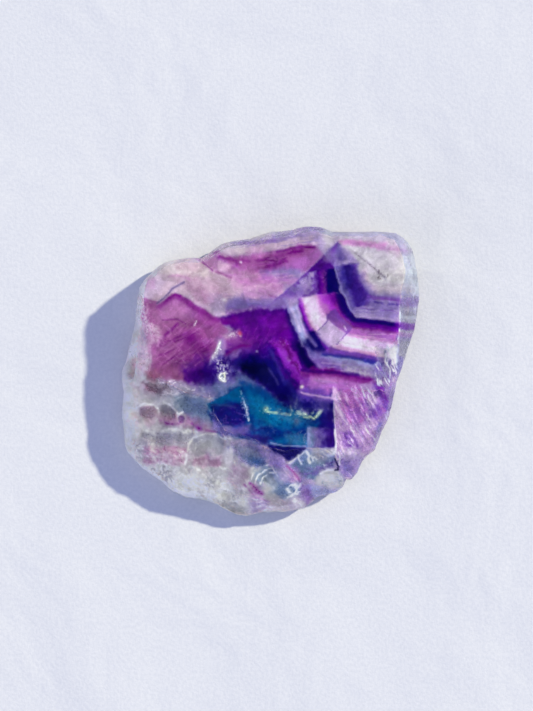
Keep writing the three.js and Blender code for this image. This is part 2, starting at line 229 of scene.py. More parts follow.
class Paint:
    """Colour laid on scattered points of the stone, given in millimetres."""

    def __init__(self, x, y):
        def shift(seed):
            return ripple(x / 2.3, y / 2.3, seed), ripple(x / 0.8, y / 0.8, seed + 1)

        (broad_x, fine_x), (broad_y, fine_y) = shift(11), shift(13)
        self.x = x + 0.20 * broad_x + 0.10 * fine_x
        self.y = y + 0.20 * broad_y + 0.10 * fine_y
        self.rgb = np.zeros((len(x), 3)) + tint_of("grey lilac")
        self.frosted = np.zeros(len(x))

    def near(self, points, reach):
        """The points of the stone in a box round these, widened by the reach."""
        xs, ys = [p[0] for p in points], [p[1] for p in points]
        return np.flatnonzero(
            (self.x > min(xs) - reach) & (self.x < max(xs) + reach)
            & (self.y > min(ys) - reach) & (self.y < max(ys) + reach)
        )

    def lay(self, tint, where, cover):
        """Covers these points with a tint, from not at all (0) to wholly (1)."""
        cover = np.clip(cover, 0, 1)
        self.rgb[where] += (tint_of(tint) - self.rgb[where]) * cover[:, None]
        self.frosted[where] += (FROSTED.get(tint, 0.0) - self.frosted[where]) * cover

    def inside(self, corners, soft):
        """The points near a closed shape, and how far each is covered by it."""
        where = self.near(corners, 4 * soft + 0.1)
        x, y = self.x[where], self.y[where]
        away = np.full(len(where), 1e9)
        crossed = np.zeros(len(where), dtype=int)
        for a, b in zip(corners, corners[1:] + corners[:1]):
            away = np.minimum(away, to_segment(x, y, a, b)[0])
            spans = (a[1] > y) != (b[1] > y)
            rise = (b[1] - a[1]) or NOTHING
            crossed += spans & (x < a[0] + (b[0] - a[0]) * (y - a[1]) / rise)
        soft = soft * (1.0 if soft < CRISP else FEATHER)
        depth = np.where(crossed % 2 == 1, away, -away)
        depth += RAGGED * soft * rough(x / 1.1, y / 1.1, 5 + len(corners))
        return where, step(-soft, soft, depth)

    def patch(self, tint, path, soft=0.5, strength=1.0, mottle=0.0, grain=1.5):
        """A closed shape of one tint, mottled with clouds as wide as the grain."""
        corners = trace(path)
        where, cover = self.inside(corners, soft)
        if mottle:
            n = rough(self.x[where] / grain, self.y[where] / grain, len(corners))
            cover = cover * (1 - mottle * (0.5 - 0.9 * n))
        self.lay(tint, where, strength * cover)

    def ribbon(self, tints, first, last, soft=0.4, strength=1.0, mottle=0.25, grain=1.2):
        """A band between two lines, its colour passing through the tints from one to the other."""
        first, last = trace(first), trace(last)
        where, cover = self.inside(first + last[::-1], soft)
        x, y = self.x[where], self.y[where]
        near, far = to_line(x, y, first), to_line(x, y, last)
        across = near / (near + far + 1e-9)
        across = across + mottle * 0.5 * rough(x / grain, y / grain, len(first) + 40)
        stops = np.linspace(0, 1, len(tints))
        cover = strength * cover[:, None]
        colours = np.array([TINTS[tint] for tint in tints]) / 255
        colour = np.stack([np.interp(across, stops, colours[:, c]) for c in range(3)], axis=1)
        self.rgb[where] += (colour - self.rgb[where]) * cover
        dull = np.interp(across, stops, [FROSTED.get(tint, 0.0) for tint in tints])
        self.frosted[where] += (dull - self.frosted[where]) * cover[:, 0]

    def stroke(self, tint, path, width=1.0, soft=0.3, strength=1.0, taper=0.0, broken=0.0):
        """A drawn line, thinner to its ends with taper, and in dashes where it is broken."""
        points = trace(path)
        where = self.near(points, width + soft)
        x, y = self.x[where], self.y[where]
        cover = np.zeros(len(where))
        count = len(points) - 1
        for k, (a, b) in enumerate(zip(points, points[1:])):
            away, t = to_segment(x, y, a, b)
            along = (k + t) / count
            half = 0.5 * width * (1 - taper * np.abs(2 * along - 1) ** 2)
            cover = np.maximum(cover, step(half + soft, np.maximum(half - soft, 0.0), away))
        if broken:
            dashes = rough(x / 0.9, y / 0.9, count) + 0.35
            cover = cover * step(broken - 0.7, broken + 0.1, dashes)
        self.lay(tint, where, strength * cover)

    def glow(self, tint, centre, radius, strength=1.0, squash=1.0, turn=0.0):
        """A soft round spot, drawn out along a turned direction by its squash."""
        where = self.near([centre], 2.2 * radius * max(1.0, squash))
        u, v = turned(self.x[where] - centre[0], self.y[where] - centre[1], turn)
        u = u / squash
        self.lay(tint, where, strength * np.exp(-(u * u + v * v) / (radius * radius)))

    def streaks(self, tint, path, turn, length=5.0, width=0.5, share=0.4, soft=0.5, strength=1.0,
                seed=1):
        """Scattered streaks along a turned direction that cover a share of a closed shape."""
        where, cover = self.inside(trace(path), soft)
        u, v = turned(self.x[where], self.y[where], turn)
        n = rough(u / length, v / width, seed)
        bare = 1 - 2 * share
        self.lay(tint, where, strength * cover * step(bare - 0.25, bare + 0.25, n * 1.7))

    def veins(self, tint, path, turn, length=4.0, width=2.0, fine=0.10, soft=0.5, strength=1.0,
              seed=1):
        """Thin wandering lines, as along the edges of small breaks."""
        where, cover = self.inside(trace(path), soft)
        u, v = turned(self.x[where], self.y[where], turn)
        n = rough(u / length, v / width, seed)
        fade = step(-0.5, 0.3, ripple(u / 2.6, v / 2.6, seed + 7))
        self.lay(tint, where, strength * cover * fade * step(fine, 0.25 * fine, np.abs(n)))

    def specks(self, tint, path, size=0.6, share=0.2, soft=0.5, strength=1.0, seed=1):
        """Scattered round flecks that cover a share of a closed shape."""
        self.streaks(tint, path, 0.0, size, size, share, soft, strength, seed)

    def age(self):
        """Clouds of grain, haze and fine streaks through the whole stone."""
        cloud = rough(self.x / 3.4, self.y / 3.4, 201)
        grain = rough(self.x / 0.8, self.y / 0.8, 202)
        self.rgb *= (1 + 0.08 * cloud + 0.06 * grain)[:, None]
        u, v = turned(self.x, self.y, -8)
        haze = step(0.12, 0.75, rough(u / 2.8, v / 1.3, 203)) * 0.18
        haze += step(0.30, 0.85, rough(self.x / 0.55, self.y / 0.55, 204)) * 0.10
        haze *= 0.05 + self.rgb.mean(axis=1)
        self.rgb += (tint_of("grey lilac") - self.rgb) * haze[:, None]
        self.rgb += FADING * (self.rgb.mean(axis=1, keepdims=True) - self.rgb)
        self.rgb = MIDDLE + (self.rgb - MIDDLE) * CONTRAST
        self.rgb = np.maximum(self.rgb, 0.0) * WARMTH


# ---- The bands, each part of the stone in turn
def paint_upper_left(stone):
    """The bone-coloured shoulder, and the pale bands that run right from it."""
    stone.patch("mist", "-45,24 -43,30 -36,36 -24,38 -12,43 2,44 2,20 -14,17 -18,18 -30,25 -36,22", 1.0)
    stone.patch("bone", "-43.5,25 -41,31.5 -34,37 -24,38 -20.6,33.6 -19.6,30.5 -26,30.4 -34,31 -38,30.5 "
        "-40,27.5", 0.9)
    stone.patch("warm bone", "-38,31 -34,34.8 -27,35.6 -23,33 -22,31 -30,31.6", 1.2, 0.4)
    stone.patch("mauve", "-31,37 -22.6,37.4 -20.6,33.6 -24,32.4 -30,33", 1.0, 0.34)
    stone.patch("grey lilac", "-41,24.6 -38,29.6 -33.6,29.4 -36,25 -38,23.6", 0.9, 0.5, 0.5, 1.1)
    stone.patch("blush", "-42,29.8 -37.6,29.8 -37.4,26.8 -40.6,26.4", 0.7, 0.35, 0.5, 0.8)
    stone.patch("rose", "-41.6,29.4 -39.4,30.4 -36.6,29.2 -37.4,27.2 -39.6,28", 0.8, 0.4)
    stone.stroke("rose", "-32.4,30.4 -30,30.7 -27.6,30 -26,29.4", 0.7, 0.5, 0.45)
    # bands below the shoulder
    stone.patch("blush", "-13,30.4 -6,29.6 1,27.4 1,25.2 -7,25.4 -12,26.4", 1.2, 0.5, 0.3, 1.4)
    stone.patch("smoke", "-27,26 -24,26.6 -20,23.6 -18,19.6 -21,20.6 -25,23.4", 0.9, 0.4, 0.6, 1.2)
    stone.patch("smoke", "-40,31 -30,31 -21,30 -18,26 -20,23.6 -26,24 -31,26.4 -36,26 -40.6,26", 1.0,
        0.2, 0.3, 2.0)
    stone.patch("mulberry", "-26.4,27 -22.4,26.6 -17.6,24 -17.6,21.6 -21,20.8 -24,23.2", 0.9, 0.36,
        0.3, 1.4)
    stone.patch("grey lilac", "-19,24.8 -14,24.4 -13,21 -14.6,18.8 -17.4,18.4 -19.6,20.6", 0.9, 0.75)
    stone.patch("violet", "-13.6,24 -4,24.6 2.4,24.2 2.6,20.6 -6,20.2 -13.6,19.6", 0.9, 0.42, 0.3, 1.6)
    stone.ribbon(["violet", "slate violet", "lavender", "mist", "pale pink"], "-14,19 -8,19.8 -2,20.1 "
        "4,20.3", "-15,24.6 -8,25.4 -2,25.6 4,26.2", 0.9, 0.85, 0.4, 1.6)
    stone.patch("slate violet", "-13.6,23 -12,24.2 -8.6,24.4 -6.8,22.6 -7,20.8 -12.6,20.6", 0.7, 0.7,
        0.4, 1.0)
    stone.streaks("slate violet", "-14,24 2,24 2,20 -14,20", 4, 5, 0.5, 0.25, 0.6, 0.4, 12)
    stone.patch("orchid", "-9,26 2.6,26.8 2.4,23.2 -2,22.8 -8.6,23.4", 0.8, 0.5, 0.3, 1.4)
    # painted glint on the polished face
    stone.glow("frost and glint", (-14.9, 22.9), 0.45, 0.8, 2.0, -8)
    # the bright facet beside the shoulder
    stone.patch("rose", "-24.2,36.6 -21,38 -18.2,38.8 -16.6,36 -17,33 -18.6,32 -20,33.4", 0.7, 0.75)
    stone.patch("orchid", "-17.4,35.2 -12.4,33.4 -12.4,30.2 -17.6,31.6", 0.4, 0.35)
    stone.patch("pale pink", "-17.2,34.8 -12.8,34.4 -12.3,31.9 -16.8,32.2", 0.42, 0.85)
    stone.stroke("magenta", "-24.2,36.2 -22,35.1 -20,33.4 -18.6,32.2", 0.4, 0.3, 0.6)
    stone.stroke("mulberry", "-17.6,31.8 -15,31.2 -12.6,30.2", 0.7, 0.35, 0.6)
    stone.patch("mauve", "-30.5,29.5 -26,31.2 -20,29.5 -15,27.4 -13.5,24.5 -19,22.4 -24,25 -28.2,27.2",
        1.2, 0.42, 0.6, 1.4)


def paint_upper_bands(stone):
    """The rim at the top, and the magenta and rose bands under it."""
    stone.patch("grey lilac", "-18,39 -16,42 0,46.5 10,48 20,47 20,38 10,38 -4,37 -12,36 -17,37", 0.7,
        0.95)
    stone.patch("lavender", "2,41.4 2,45 10,47 16,47 16,42 9,41.4", 1.4, 0.55)
    stone.patch("mist", "-16,39.2 -13,40.8 -6,40.9 4,42.4 13,43.6 16,41 8,40 0,38.6 -8,37.4 -13,36.6 "
        "-16.4,37.6", 0.6, 0.85)
    stone.patch("bone", "-12.6,40.2 -9.4,40.6 -8.6,38.4 -10.4,36.8 -12,38.4", 0.6, 0.55)
    stone.streaks("lavender", "-14,40 -12,42.6 0,43.6 14,46 18,44.4 14,41 0,39.6", 9, 9, 0.55, 0.36,
        0.6, 0.7, 3)
    stone.stroke("violet", "-9.6,41.2 -6,41.2 -2,41.7 1,42.2", 1.4, 0.6, 0.5)
    stone.stroke("lavender", "0,42.4 6,43.2 12,43.6", 0.9, 0.6, 0.6)
    stone.stroke("quartz grey", "-21,37.4 -17,40.2 -12,42.2 -6,42.6 -1,44.4 2,45", 1.1, 0.4, 0.8)
    stone.stroke("moss", "-16.4,39.2 -14,40.1 -11.4,40.6", 0.35, 0.3, 0.45, 0.3, 0.5)
    stone.patch("violet", "6.4,46 9,47.6 18,47.6 18.6,45.6 14,45 9,44.8", 0.6, 0.8, 0.5, 1.0)
    stone.stroke("royal violet", "7.4,46 10,46.6 14,46.8 17,46.2", 0.6, 0.4, 0.6, 0.2, 0.5)
    stone.patch("quartz grey", "17.4,45.6 20,46 21.4,43 20,40.8 17.6,39.2 16.4,42", 0.7, 0.9)
    stone.patch("smoke", "10,45.4 17.6,46.4 18.6,43.4 14.6,42.2 10,42.6", 0.7, 0.45, 0.4, 1.2)
    # magenta band
    band = trace("-18.8,38.4 -16.2,38.9 -16.8,36.8 -12.6,36.2 -10,36.4 -5,37.5 0,37.9 6,39.2 12,40.7 "
        "14.7,40.1 16.8,37.6 14.6,34.8 11.2,31.8 6,33 -2,32 -5,32 -12.6,32.6 -12,34.8 -16.8,35.2")
    stone.patch("orchid", band, 0.5, 0.95)
    stone.patch("mulberry", "-17,37.4 -12.6,36.4 -5,37.6 0,37.9 6,39.3 12,40.6 14.6,39.9 12,37.4 8,36 "
        "4,34.4 0,32.6 -6,31.6 -9,33 -12,33.6", 0.7, 0.9, 0.3, 1.6)
    stone.streaks("dark magenta", "-5,36 0,37.8 12,40.4 14,39 6,35.6 0,33.6", 11, 5, 0.8, 0.34, 0.7,
        0.7, 5)
    stone.streaks("orchid", "-13,36 -4,37.4 2,37 4,35 -2,32 -12,33", 14, 3, 0.8, 0.3, 0.7, 0.6, 6)
    stone.streaks("magenta", "-13,36 -4,36 0,34 -4,31 -12,33", 20, 3, 0.6, 0.26, 0.7, 0.6, 4)
    stone.stroke("dark magenta", "-18.4,38.3 -16.8,38.4 -16.4,37", 0.8, 0.4, 0.8)
    stone.stroke("magenta", "-16.6,36.6 -13,36 -11.2,35 -10.9,33.9", 0.8, 0.4, 0.8)
    stone.patch("dark magenta", "-0.6,36.6 2,37.6 6,38.4 10,39.4 10.6,38.2 6,37.2 2,36", 0.6, 0.5)
    stone.patch("dark magenta", "-2.4,33 -0.8,34.6 2,35.2 5,35.2 3.6,34.2 1.6,33.2 -0.6,32.6", 0.45,
        0.85, 0.4, 0.9)
    stone.patch("magenta", "-5.4,31.8 -3.4,32.6 -1,32.4 -0.8,30.9 -3.6,31.2", 0.5, 0.7, 0.5, 0.8)
    stone.stroke("dark magenta", "2,38.4 6,39.2 10,40 13.8,39.9", 0.8, 0.4, 0.7)
    stone.stroke("pale pink", "-17,37.3 -15.4,37.4 -14.6,36.8", 0.8, 0.5, 0.6, 0.3, 0.5)
    stone.glow("frost and glint", (-9.4, 35), 0.35, 0.9, 1.3)
    # rose and lilac bands
    stone.patch("rose", "-14,33 -6,33.6 -4,31.8 0,31.6 0,27.6 -8,28 -12,30", 0.9, 0.75, 0.35, 1.6)
    stone.patch("blush", "-9,31 -4,31.6 0,30.2 6,28.2 3,25.4 -2,27.4 -8,28.6", 1.0, 0.7)
    stone.patch("slate violet", "-3.4,32 1,33 6,33.2 9.6,32 8.6,30.2 2,30 -2.6,30", 0.8, 0.72, 0.4, 1.4)
    stone.patch("orchid", "-3,31 6,30.8 9.6,30 7.4,27.8 -2,28.6", 0.9, 0.6)
    stone.streaks("pale pink", "-10,31.5 2,32 9,31 5,27 -6,26", 6, 6, 0.5, 0.3, 0.7, 0.4, 7)
    stone.streaks("orchid", "-14,31 -2,32 2,29 -8,28", 4, 5, 0.6, 0.3, 0.7, 0.4, 8)
    stone.stroke("mulberry", "-0.6,24.4 1,23.9 2,23.4", 0.4, 0.3, 0.4)
    stone.patch("blush", "-7,40 -2,39.6 -1.6,36.6 -6,36.2", 0.9, 0.5, 0.4, 1.0)


def paint_left_block(stone):
    """The mulberry block with its chevron, and the grainy rim to its left."""
    stone.patch("mulberry", "-41,22.8 -36,21.6 -30.3,24.8 -22.5,20 -16.6,16.8 -14,13 -16,10 -19,4 "
        "-20,-1 -26,-3.4 -38,-1 -40,6 -40,14", 0.5, 0.95)
    stone.patch("orchid", "-36,20 -30.3,23.6 -25,20.4 -22.6,17.2 -27,16.8 -33,17.2 -36,16", 0.9, 0.8)
    stone.patch("rose", "-34,19 -30.4,22.6 -26.4,20 -26,18.4 -30,18 -34,17.6", 0.9, 0.75)
    stone.stroke("magenta", "-36,20.4 -32.6,23 -30.4,24.2 -27,22.5 -22.5,19.5 -18.4,17 -16.4,16.4",
        1.7, 0.5, 0.85)
    stone.stroke("dark magenta", "-33.4,22.8 -31.4,24.4 -30.3,24.8 -29,24.2", 0.9, 0.4, 0.7)
    stone.patch("magenta", "-25,20.4 -17.4,16.8 -16.6,14 -20,14 -24,17.4", 0.9, 0.4, 0.4, 1.0)
    stone.patch("rose", "-41,21 -36,21 -31,23 -27,19.6 -30,17.4 -35,13 -35.4,9.4 -38,9 -40,14", 1.2,
        0.5, 0.5, 1.2)
    stone.patch("mauve", "-38.4,20.4 -29,20.4 -25,17.2 -25.6,14 -31,13.4 -35.6,11 -36.4,3 -39,3", 1.2,
        0.42, 0.3, 1.4)
    stone.patch("dark magenta", "-29,11 -24,12 -21,9 -20,3 -26,0 -31,2", 1.6, 0.36, 0.5, 1.4)
    stone.stroke("dark magenta", "-34.6,16.3 -32,16.8 -29.6,16.5 -27.2,15.2", 0.35, 0.25, 0.7)
    stone.stroke("dark magenta", "-37,8.6 -34.4,11 -31.6,13.6 -29.8,15", 0.9, 0.5, 0.6)
    stone.streaks("dark magenta", "-37,8 -31,14.4 -24,15 -18,13.6 -20,4 -34,2", 24, 5, 0.7, 0.3, 0.9,
        0.5, 9)
    stone.streaks("orchid", "-38,6 -31,12.4 -22,15.4 -15,13.6 -19,5 -30,8", 32, 4, 0.8, 0.26, 0.9,
        0.45, 10)
    stone.streaks("blush", "-38,20 -31,22.4 -18,15.4 -17,8 -22,-1 -37,-1", 38, 5, 0.45, 0.26, 0.9,
        0.38, 17)
    stone.veins("rose", "-38,20 -31,22.4 -18,15.4 -17,8 -22,-1 -37,-1", -40, 7, 2.4, 0.10, 0.9, 0.5, 18)
    stone.glow("dark magenta", (-25.6, 10.6), 1.7, 0.8, 1.3, -20)
    stone.glow("dark magenta", (-22.6, 7), 2.4, 0.35)
    stone.patch("rose", "-16.6,13.4 -13.6,13.8 -13.6,12.2 -16,11.2", 0.7, 0.5)
    stone.patch("deep purple", "-27.4,2 -23.6,4.8 -19.8,5.2 -19.4,-1 -26.6,-2.6", 1.2, 0.6)
    stone.patch("umber", "-31.6,3 -27,3.4 -20.4,1 -20.6,-5 -27,-4.6 -31,-3", 0.9, 0.3, 0.5, 1.0)
    stone.stroke("mulberry", "-23.6,6.8 -21.6,3.6 -24.2,2", 0.3, 0.3, 0.5)
    # grainy left rim
    stone.patch("pale pink", "-45,17 -43.5,24 -41,23.4 -39.4,20 -38.8,16 -36,14 -34.8,11.6 -36,8.6 "
        "-38.6,9 -42,14", 0.6, 0.85)
    stone.specks("mulberry", "-42,22.6 -38.6,22.6 -38.4,17.6 -41.6,16.6", 0.8, 0.5, 0.5, 0.7, 21)
    stone.specks("pearl", "-44,15 -43,23 -40,22 -39,17 -36,13 -35.6,9 -39,8.6", 0.36, 0.34, 0.7, 0.6,
        22)
    stone.specks("mulberry", "-41,19 -38,19 -35.8,11 -37,8.6 -39,13", 0.45, 0.28, 0.5, 0.5, 23)
    stone.patch("quartz grey", "-45.4,15.5 -41.6,14.4 -39.4,9 -38.4,4 -38.2,-1 -50,-1 -49,8", 0.7, 0.9)
    stone.patch("mist", "-44,6 -39.4,7 -38.4,0 -45,-0.5", 1.2, 0.6, 0.4, 1.2)
    stone.patch("mist", "-43.6,13 -39.2,8.8 -38.4,3 -40,1 -43,4", 0.8, 0.7, 0.4, 1.2)
    stone.specks("pearl", "-46,14 -41,13 -39,3 -41,-1 -47,2", 0.6, 0.26, 0.5, 0.6, 25)
    stone.specks("smoke", "-45,14 -41,13 -39,4 -39,-1 -48.5,-1 -47,6", 0.7, 0.35, 0.5, 0.4, 24)
    # painted light on the shaded far left rim, in warm white
    stone.patch("weathered", "-47.4,12 -44.8,13 -43,8 -42.4,0 -49,-1 -48.6,6", 0.9, 0.75, 0.4, 1.4)
    stone.patch("mauve", "-44,6 -41,6.4 -40.4,-0.6 -45,-1", 0.9, 0.35, 0.6, 1.1)
    stone.stroke("frost and glint", "-38.6,8 -38.3,4 -38.5,0", 0.35, 0.25, 0.5, 0.0, 0.5)
    stone.stroke("mulberry", "-42.4,23.7 -40.2,23.3 -37.4,22.4 -36,22.2", 0.7, 0.35, 0.7)
    stone.stroke("umber", "-36.4,22 -34.4,23.6 -32.8,24.9 -31.4,26.6 -29.4,27.6 -27.7,28.5", 0.26, 0.2,
        0.6)
    stone.stroke("slate violet", "-36.4,22 -34.4,23.6 -32.8,24.9 -31.4,26.6 -29.4,27.6 -27.9,28.4",
        0.6, 0.4, 0.6)
    stone.stroke("frost and glint", "-23.9,16.2 -24.5,14.8", 0.3, 0.22, 0.85)
    stone.patch("rose", "-39,11.6 -34.6,12 -33,8 -37.6,3.6 -39,5", 1.0, 0.4, 0.3, 1.2)


def paint_heart(stone):
    """The purple heart of the stone and the dark blue under it."""
    heart = trace("-16.6,16.9 -12,18.9 -8,19.5 0,20.3 5.4,20.2 7.6,14 10,8.6 13.6,1.6 15,-1 12,-4 6,-8 "
        "0,-6 -6,-1.6 -11,1 -15,4 -14,10 -12,14")
    stone.patch("deep purple", heart, 0.5, 0.97)
    stone.patch("purple", "-16,16.6 -9,17.2 -8.6,14.6 -14.6,14.6", 0.6, 0.9)
    stone.patch("dark magenta", "-16.4,17 -10.6,17.6 -9.8,15.6 -15.4,15.2", 0.5, 0.6)
    stone.patch("purple", "-3.6,17.6 3,18.6 5.6,17.4 8.2,9.8 2,10.4 -2,11.6", 0.9, 0.95)
    stone.patch("purple", "-9,14 -4.4,13.8 -3,10 -9,8.6", 1.3, 0.6)
    stone.patch("purple", "-13,18.6 -3,19 -1,14 -3,8 -9,8.6 -12,13", 1.2, 0.32, 0.4, 1.6)
    stone.patch("orchid", "-16.4,12 -10,13.6 -9.4,9.4 -13.6,7.4 -16,6.2", 0.8, 0.6)
    stone.patch("mulberry", "-14,10.4 -9,11.4 -4,9.8 -6,7.4 -12,5", 0.9, 0.65, 0.4, 1.4)
    stone.stroke("dark magenta", "-14.6,5.2 -12.4,6.7 -9.8,8.2 -6.8,8.4", 0.9, 0.4, 0.8)
    stone.patch("lavender", "-15.4,4.4 -12.6,6 -10,6.6 -9,5.4 -12.6,3.4", 0.6, 0.65)
    stone.patch("violet", "-12,7 -6,7.8 -3.6,6.4 -8,5.2", 0.7, 0.4)
    # white bruises on the left of the heart
    stone.patch("pale pink", "-15.6,11.6 -12,12.9 -10.4,12.9 -10.8,11 -14,10.6", 0.5, 0.7)
    stone.specks("frost and glint", "-15,11.2 -11.4,13 -10.2,12.6 -11,10.8", 0.5, 0.4, 0.3, 0.7, 31)
    stone.glow("ember", (-9.8, 12.3), 0.75, 0.95, 0.8)
    stone.glow("cream", (-9.7, 11.5), 0.35, 0.9)
    stone.patch("lavender", "-16.8,10.4 -15.4,10.6 -15,6 -16.6,2 -19.6,1", 0.7, 0.7)
    stone.stroke("pearl", "-16.2,10.2 -16.9,7.4 -17.9,5.2 -19.4,2.2", 1.3, 0.5, 0.7, 0.5, 0.5)
    stone.stroke("frost and glint", "-16.3,9.4 -16.9,7.6 -17.7,6", 0.8, 0.4, 0.9, 0.6)
    stone.specks("frost and glint", "-16.6,9 -15.4,8 -16,4 -18.6,1.6 -19,3", 0.5, 0.35, 0.3, 0.8, 32)
    stone.patch("royal violet", "-18.6,2.6 -16.4,5 -13.6,4.6 -11,2.6 -10.4,-1 -13,-3 -18,-2", 0.8, 0.75)
    stone.specks("indigo", "-19.6,1.6 -16,5 -11,3.6 -10.4,-2 -19,-2", 0.8, 0.5, 0.8, 0.85, 30)
    stone.specks("pearl", "-18.4,2.6 -17,5 -13,1.6 -13,-3 -17,-1", 0.45, 0.22, 0.6, 0.7, 33)
    stone.patch("slate violet", "-17,0.4 -13,0.8 -11.4,-3 -14,-4.4 -16.6,-3.4", 0.7, 0.6)
    stone.patch("indigo", "-21,3.8 -17.8,3.2 -16.8,-0.6 -17,-3.6 -20.4,-4.4 -22,0", 0.7, 0.75, 0.4, 0.8)
    stone.patch("cream", "-16.9,-1.6 -16,-0.2 -14.6,0 -14.2,-1.6 -14.2,-3.2 -15.2,-3.6 -16.2,-2.8",
        0.3, 0.95)
    stone.patch("slate", "-16,-1.6 -15.4,-0.9 -14.9,-1.6 -15.2,-2.4", 0.3, 0.9)
    stone.specks("frost and glint", "-17.4,2.6 -14.6,2.6 -13.4,-1.4 -14,-3.6 -16.6,-2.6", 0.5, 0.3, 0.6, 0.8, 29)
    # dark blue ground
    stone.patch("indigo", "-11.6,3.6 -9.4,5.4 -5.4,6 -2.6,9 1,9.4 3.6,5.6 6,1 9,-3 8,-10 3,-9.4 "
        "-2.4,-4.4 -7,-1.2 -10.6,1", 0.8, 0.85)
    stone.patch("navy", "-10.6,2.6 -8,4.6 -2,5.2 1.6,2.6 4,-2 8.6,-8 7,-10.6 3,-9 -2.4,-4.2 -7.4,-1",
        0.8, 0.9)
    stone.patch("ultramarine", "-12.6,3.8 -9.6,4.6 -8.6,2.4 -9.6,-0.4 -11.6,0.4", 0.9, 0.55)
    stone.patch("night", "-9.4,2.4 -5,3.6 -1.6,2.6 0.4,-1 -1.6,-4 -7,-1.4 -9.4,0.6", 0.9, 0.95)
    stone.patch("ink", "-1.6,1.6 1.2,-1.4 2.6,-5 6.6,-8.6 6,-9.8 2.4,-8.2 -0.8,-4.6 -2.6,-1.6", 0.9,
        0.75, 0.4, 1.2)
    stone.stroke("ultramarine", "-0.6,7.4 1.6,3.8 2.8,0.6 4.6,-4", 1.0, 0.6, 0.55)
    stone.stroke("royal violet", "0.2,6.4 1.8,3.2 2.8,0.4 4,-2.6", 0.9, 0.7, 0.65, 0.3)
    stone.stroke("purple", "2.2,4.4 3.4,1.4 5.4,-1.6", 1.4, 0.8, 0.6)
    stone.stroke("slate violet", "-0.6,1 0.8,-1.4 2.4,-4", 0.5, 0.5, 0.5, 0.4)
    stone.stroke("ultramarine", "5.4,-3 7.4,-7.4", 1.4, 0.7, 0.5)
    stone.specks("electric", "-2.6,9.6 2,10.4 6.4,9.6 5.8,6.6 1,7.4 -3,7.4", 0.7, 0.3, 0.6, 0.5, 34)
    stone.specks("royal violet", "-6,8 -1,9.6 2,5 -4,4.6", 0.8, 0.3, 0.6, 0.5, 35)
    # electric magenta flame
    left_edge = trace("-1.4,9.8 1,6.2 3,2.4 5.6,-1.6 8.2,-4")
    right_edge = trace("6.6,10.4 8.2,7.2 9.6,4.2 11.4,1.2 13.4,-0.8")
    stone.ribbon(["indigo", "purple", "electric", "electric", "dark magenta", "electric", "purple",
        "indigo"], left_edge, right_edge, 0.8, 0.95, 0.3, 1.4)
    stone.stroke("bright orchid", "3.2,7.4 5,4.6 6.8,2 8.6,-0.4", 1.0, 0.8, 0.35, 0.4, 0.5)
    stone.stroke("pale pink", "5.2,4.4 5.9,3.4", 0.6, 0.5, 0.5, 0.3)
    stone.specks("dark magenta", "-1,10.2 5.4,10.4 6.4,7.6 1.4,6.8", 0.6, 0.4, 0.5, 0.7, 37)
    stone.specks("orchid", "-1,10.2 5.4,10.4 6,8.2 1.4,7.4", 0.45, 0.28, 0.5, 0.6, 38)
    stone.streaks("bright orchid", "2.4,8.4 6,7 11,0 9,-3 4.6,2", -57, 4, 0.4, 0.24, 0.5, 0.45, 36)
    # the dark seam on the right of the heart
    stone.stroke("indigo", "5.6,19.8 7.4,14 9,9.4 10.6,5.4 12.4,2.6 14.6,0.4", 3.0, 0.9, 0.9, 0.2)
    stone.stroke("ink", "9,8.4 10.6,5 12.2,2.4 13.6,1", 2.2, 0.8, 0.8, 0.3)
    stone.glow("frost and glint", (-4.6, 6.6), 0.32, 0.9, 1.2)
    stone.patch("purple", "-10.4,16.4 1.6,16.4 1.8,8 -2,4.4 -5,6.4 -8,8.4 -10.6,12", 0.9, 0.45, 0.4,
        1.4)
    stone.stroke("electric", "2.6,8.4 4.2,5.2 5.6,2.2", 2.2, 0.9, 0.5)
    stone.streaks("electric", "-9,16 2,17 2,8 -4,7 -9,10", 62, 4, 0.6, 0.3, 0.8, 0.35, 119)
    stone.glow("ultramarine", (0, -0.6), 6.4, 0.34)
    stone.patch("orchid", "-12,17.6 -4,18.6 4,19.2 6,14 0,9.6 -9,9.6", 1.6, 0.16, 0.8, 1.2)


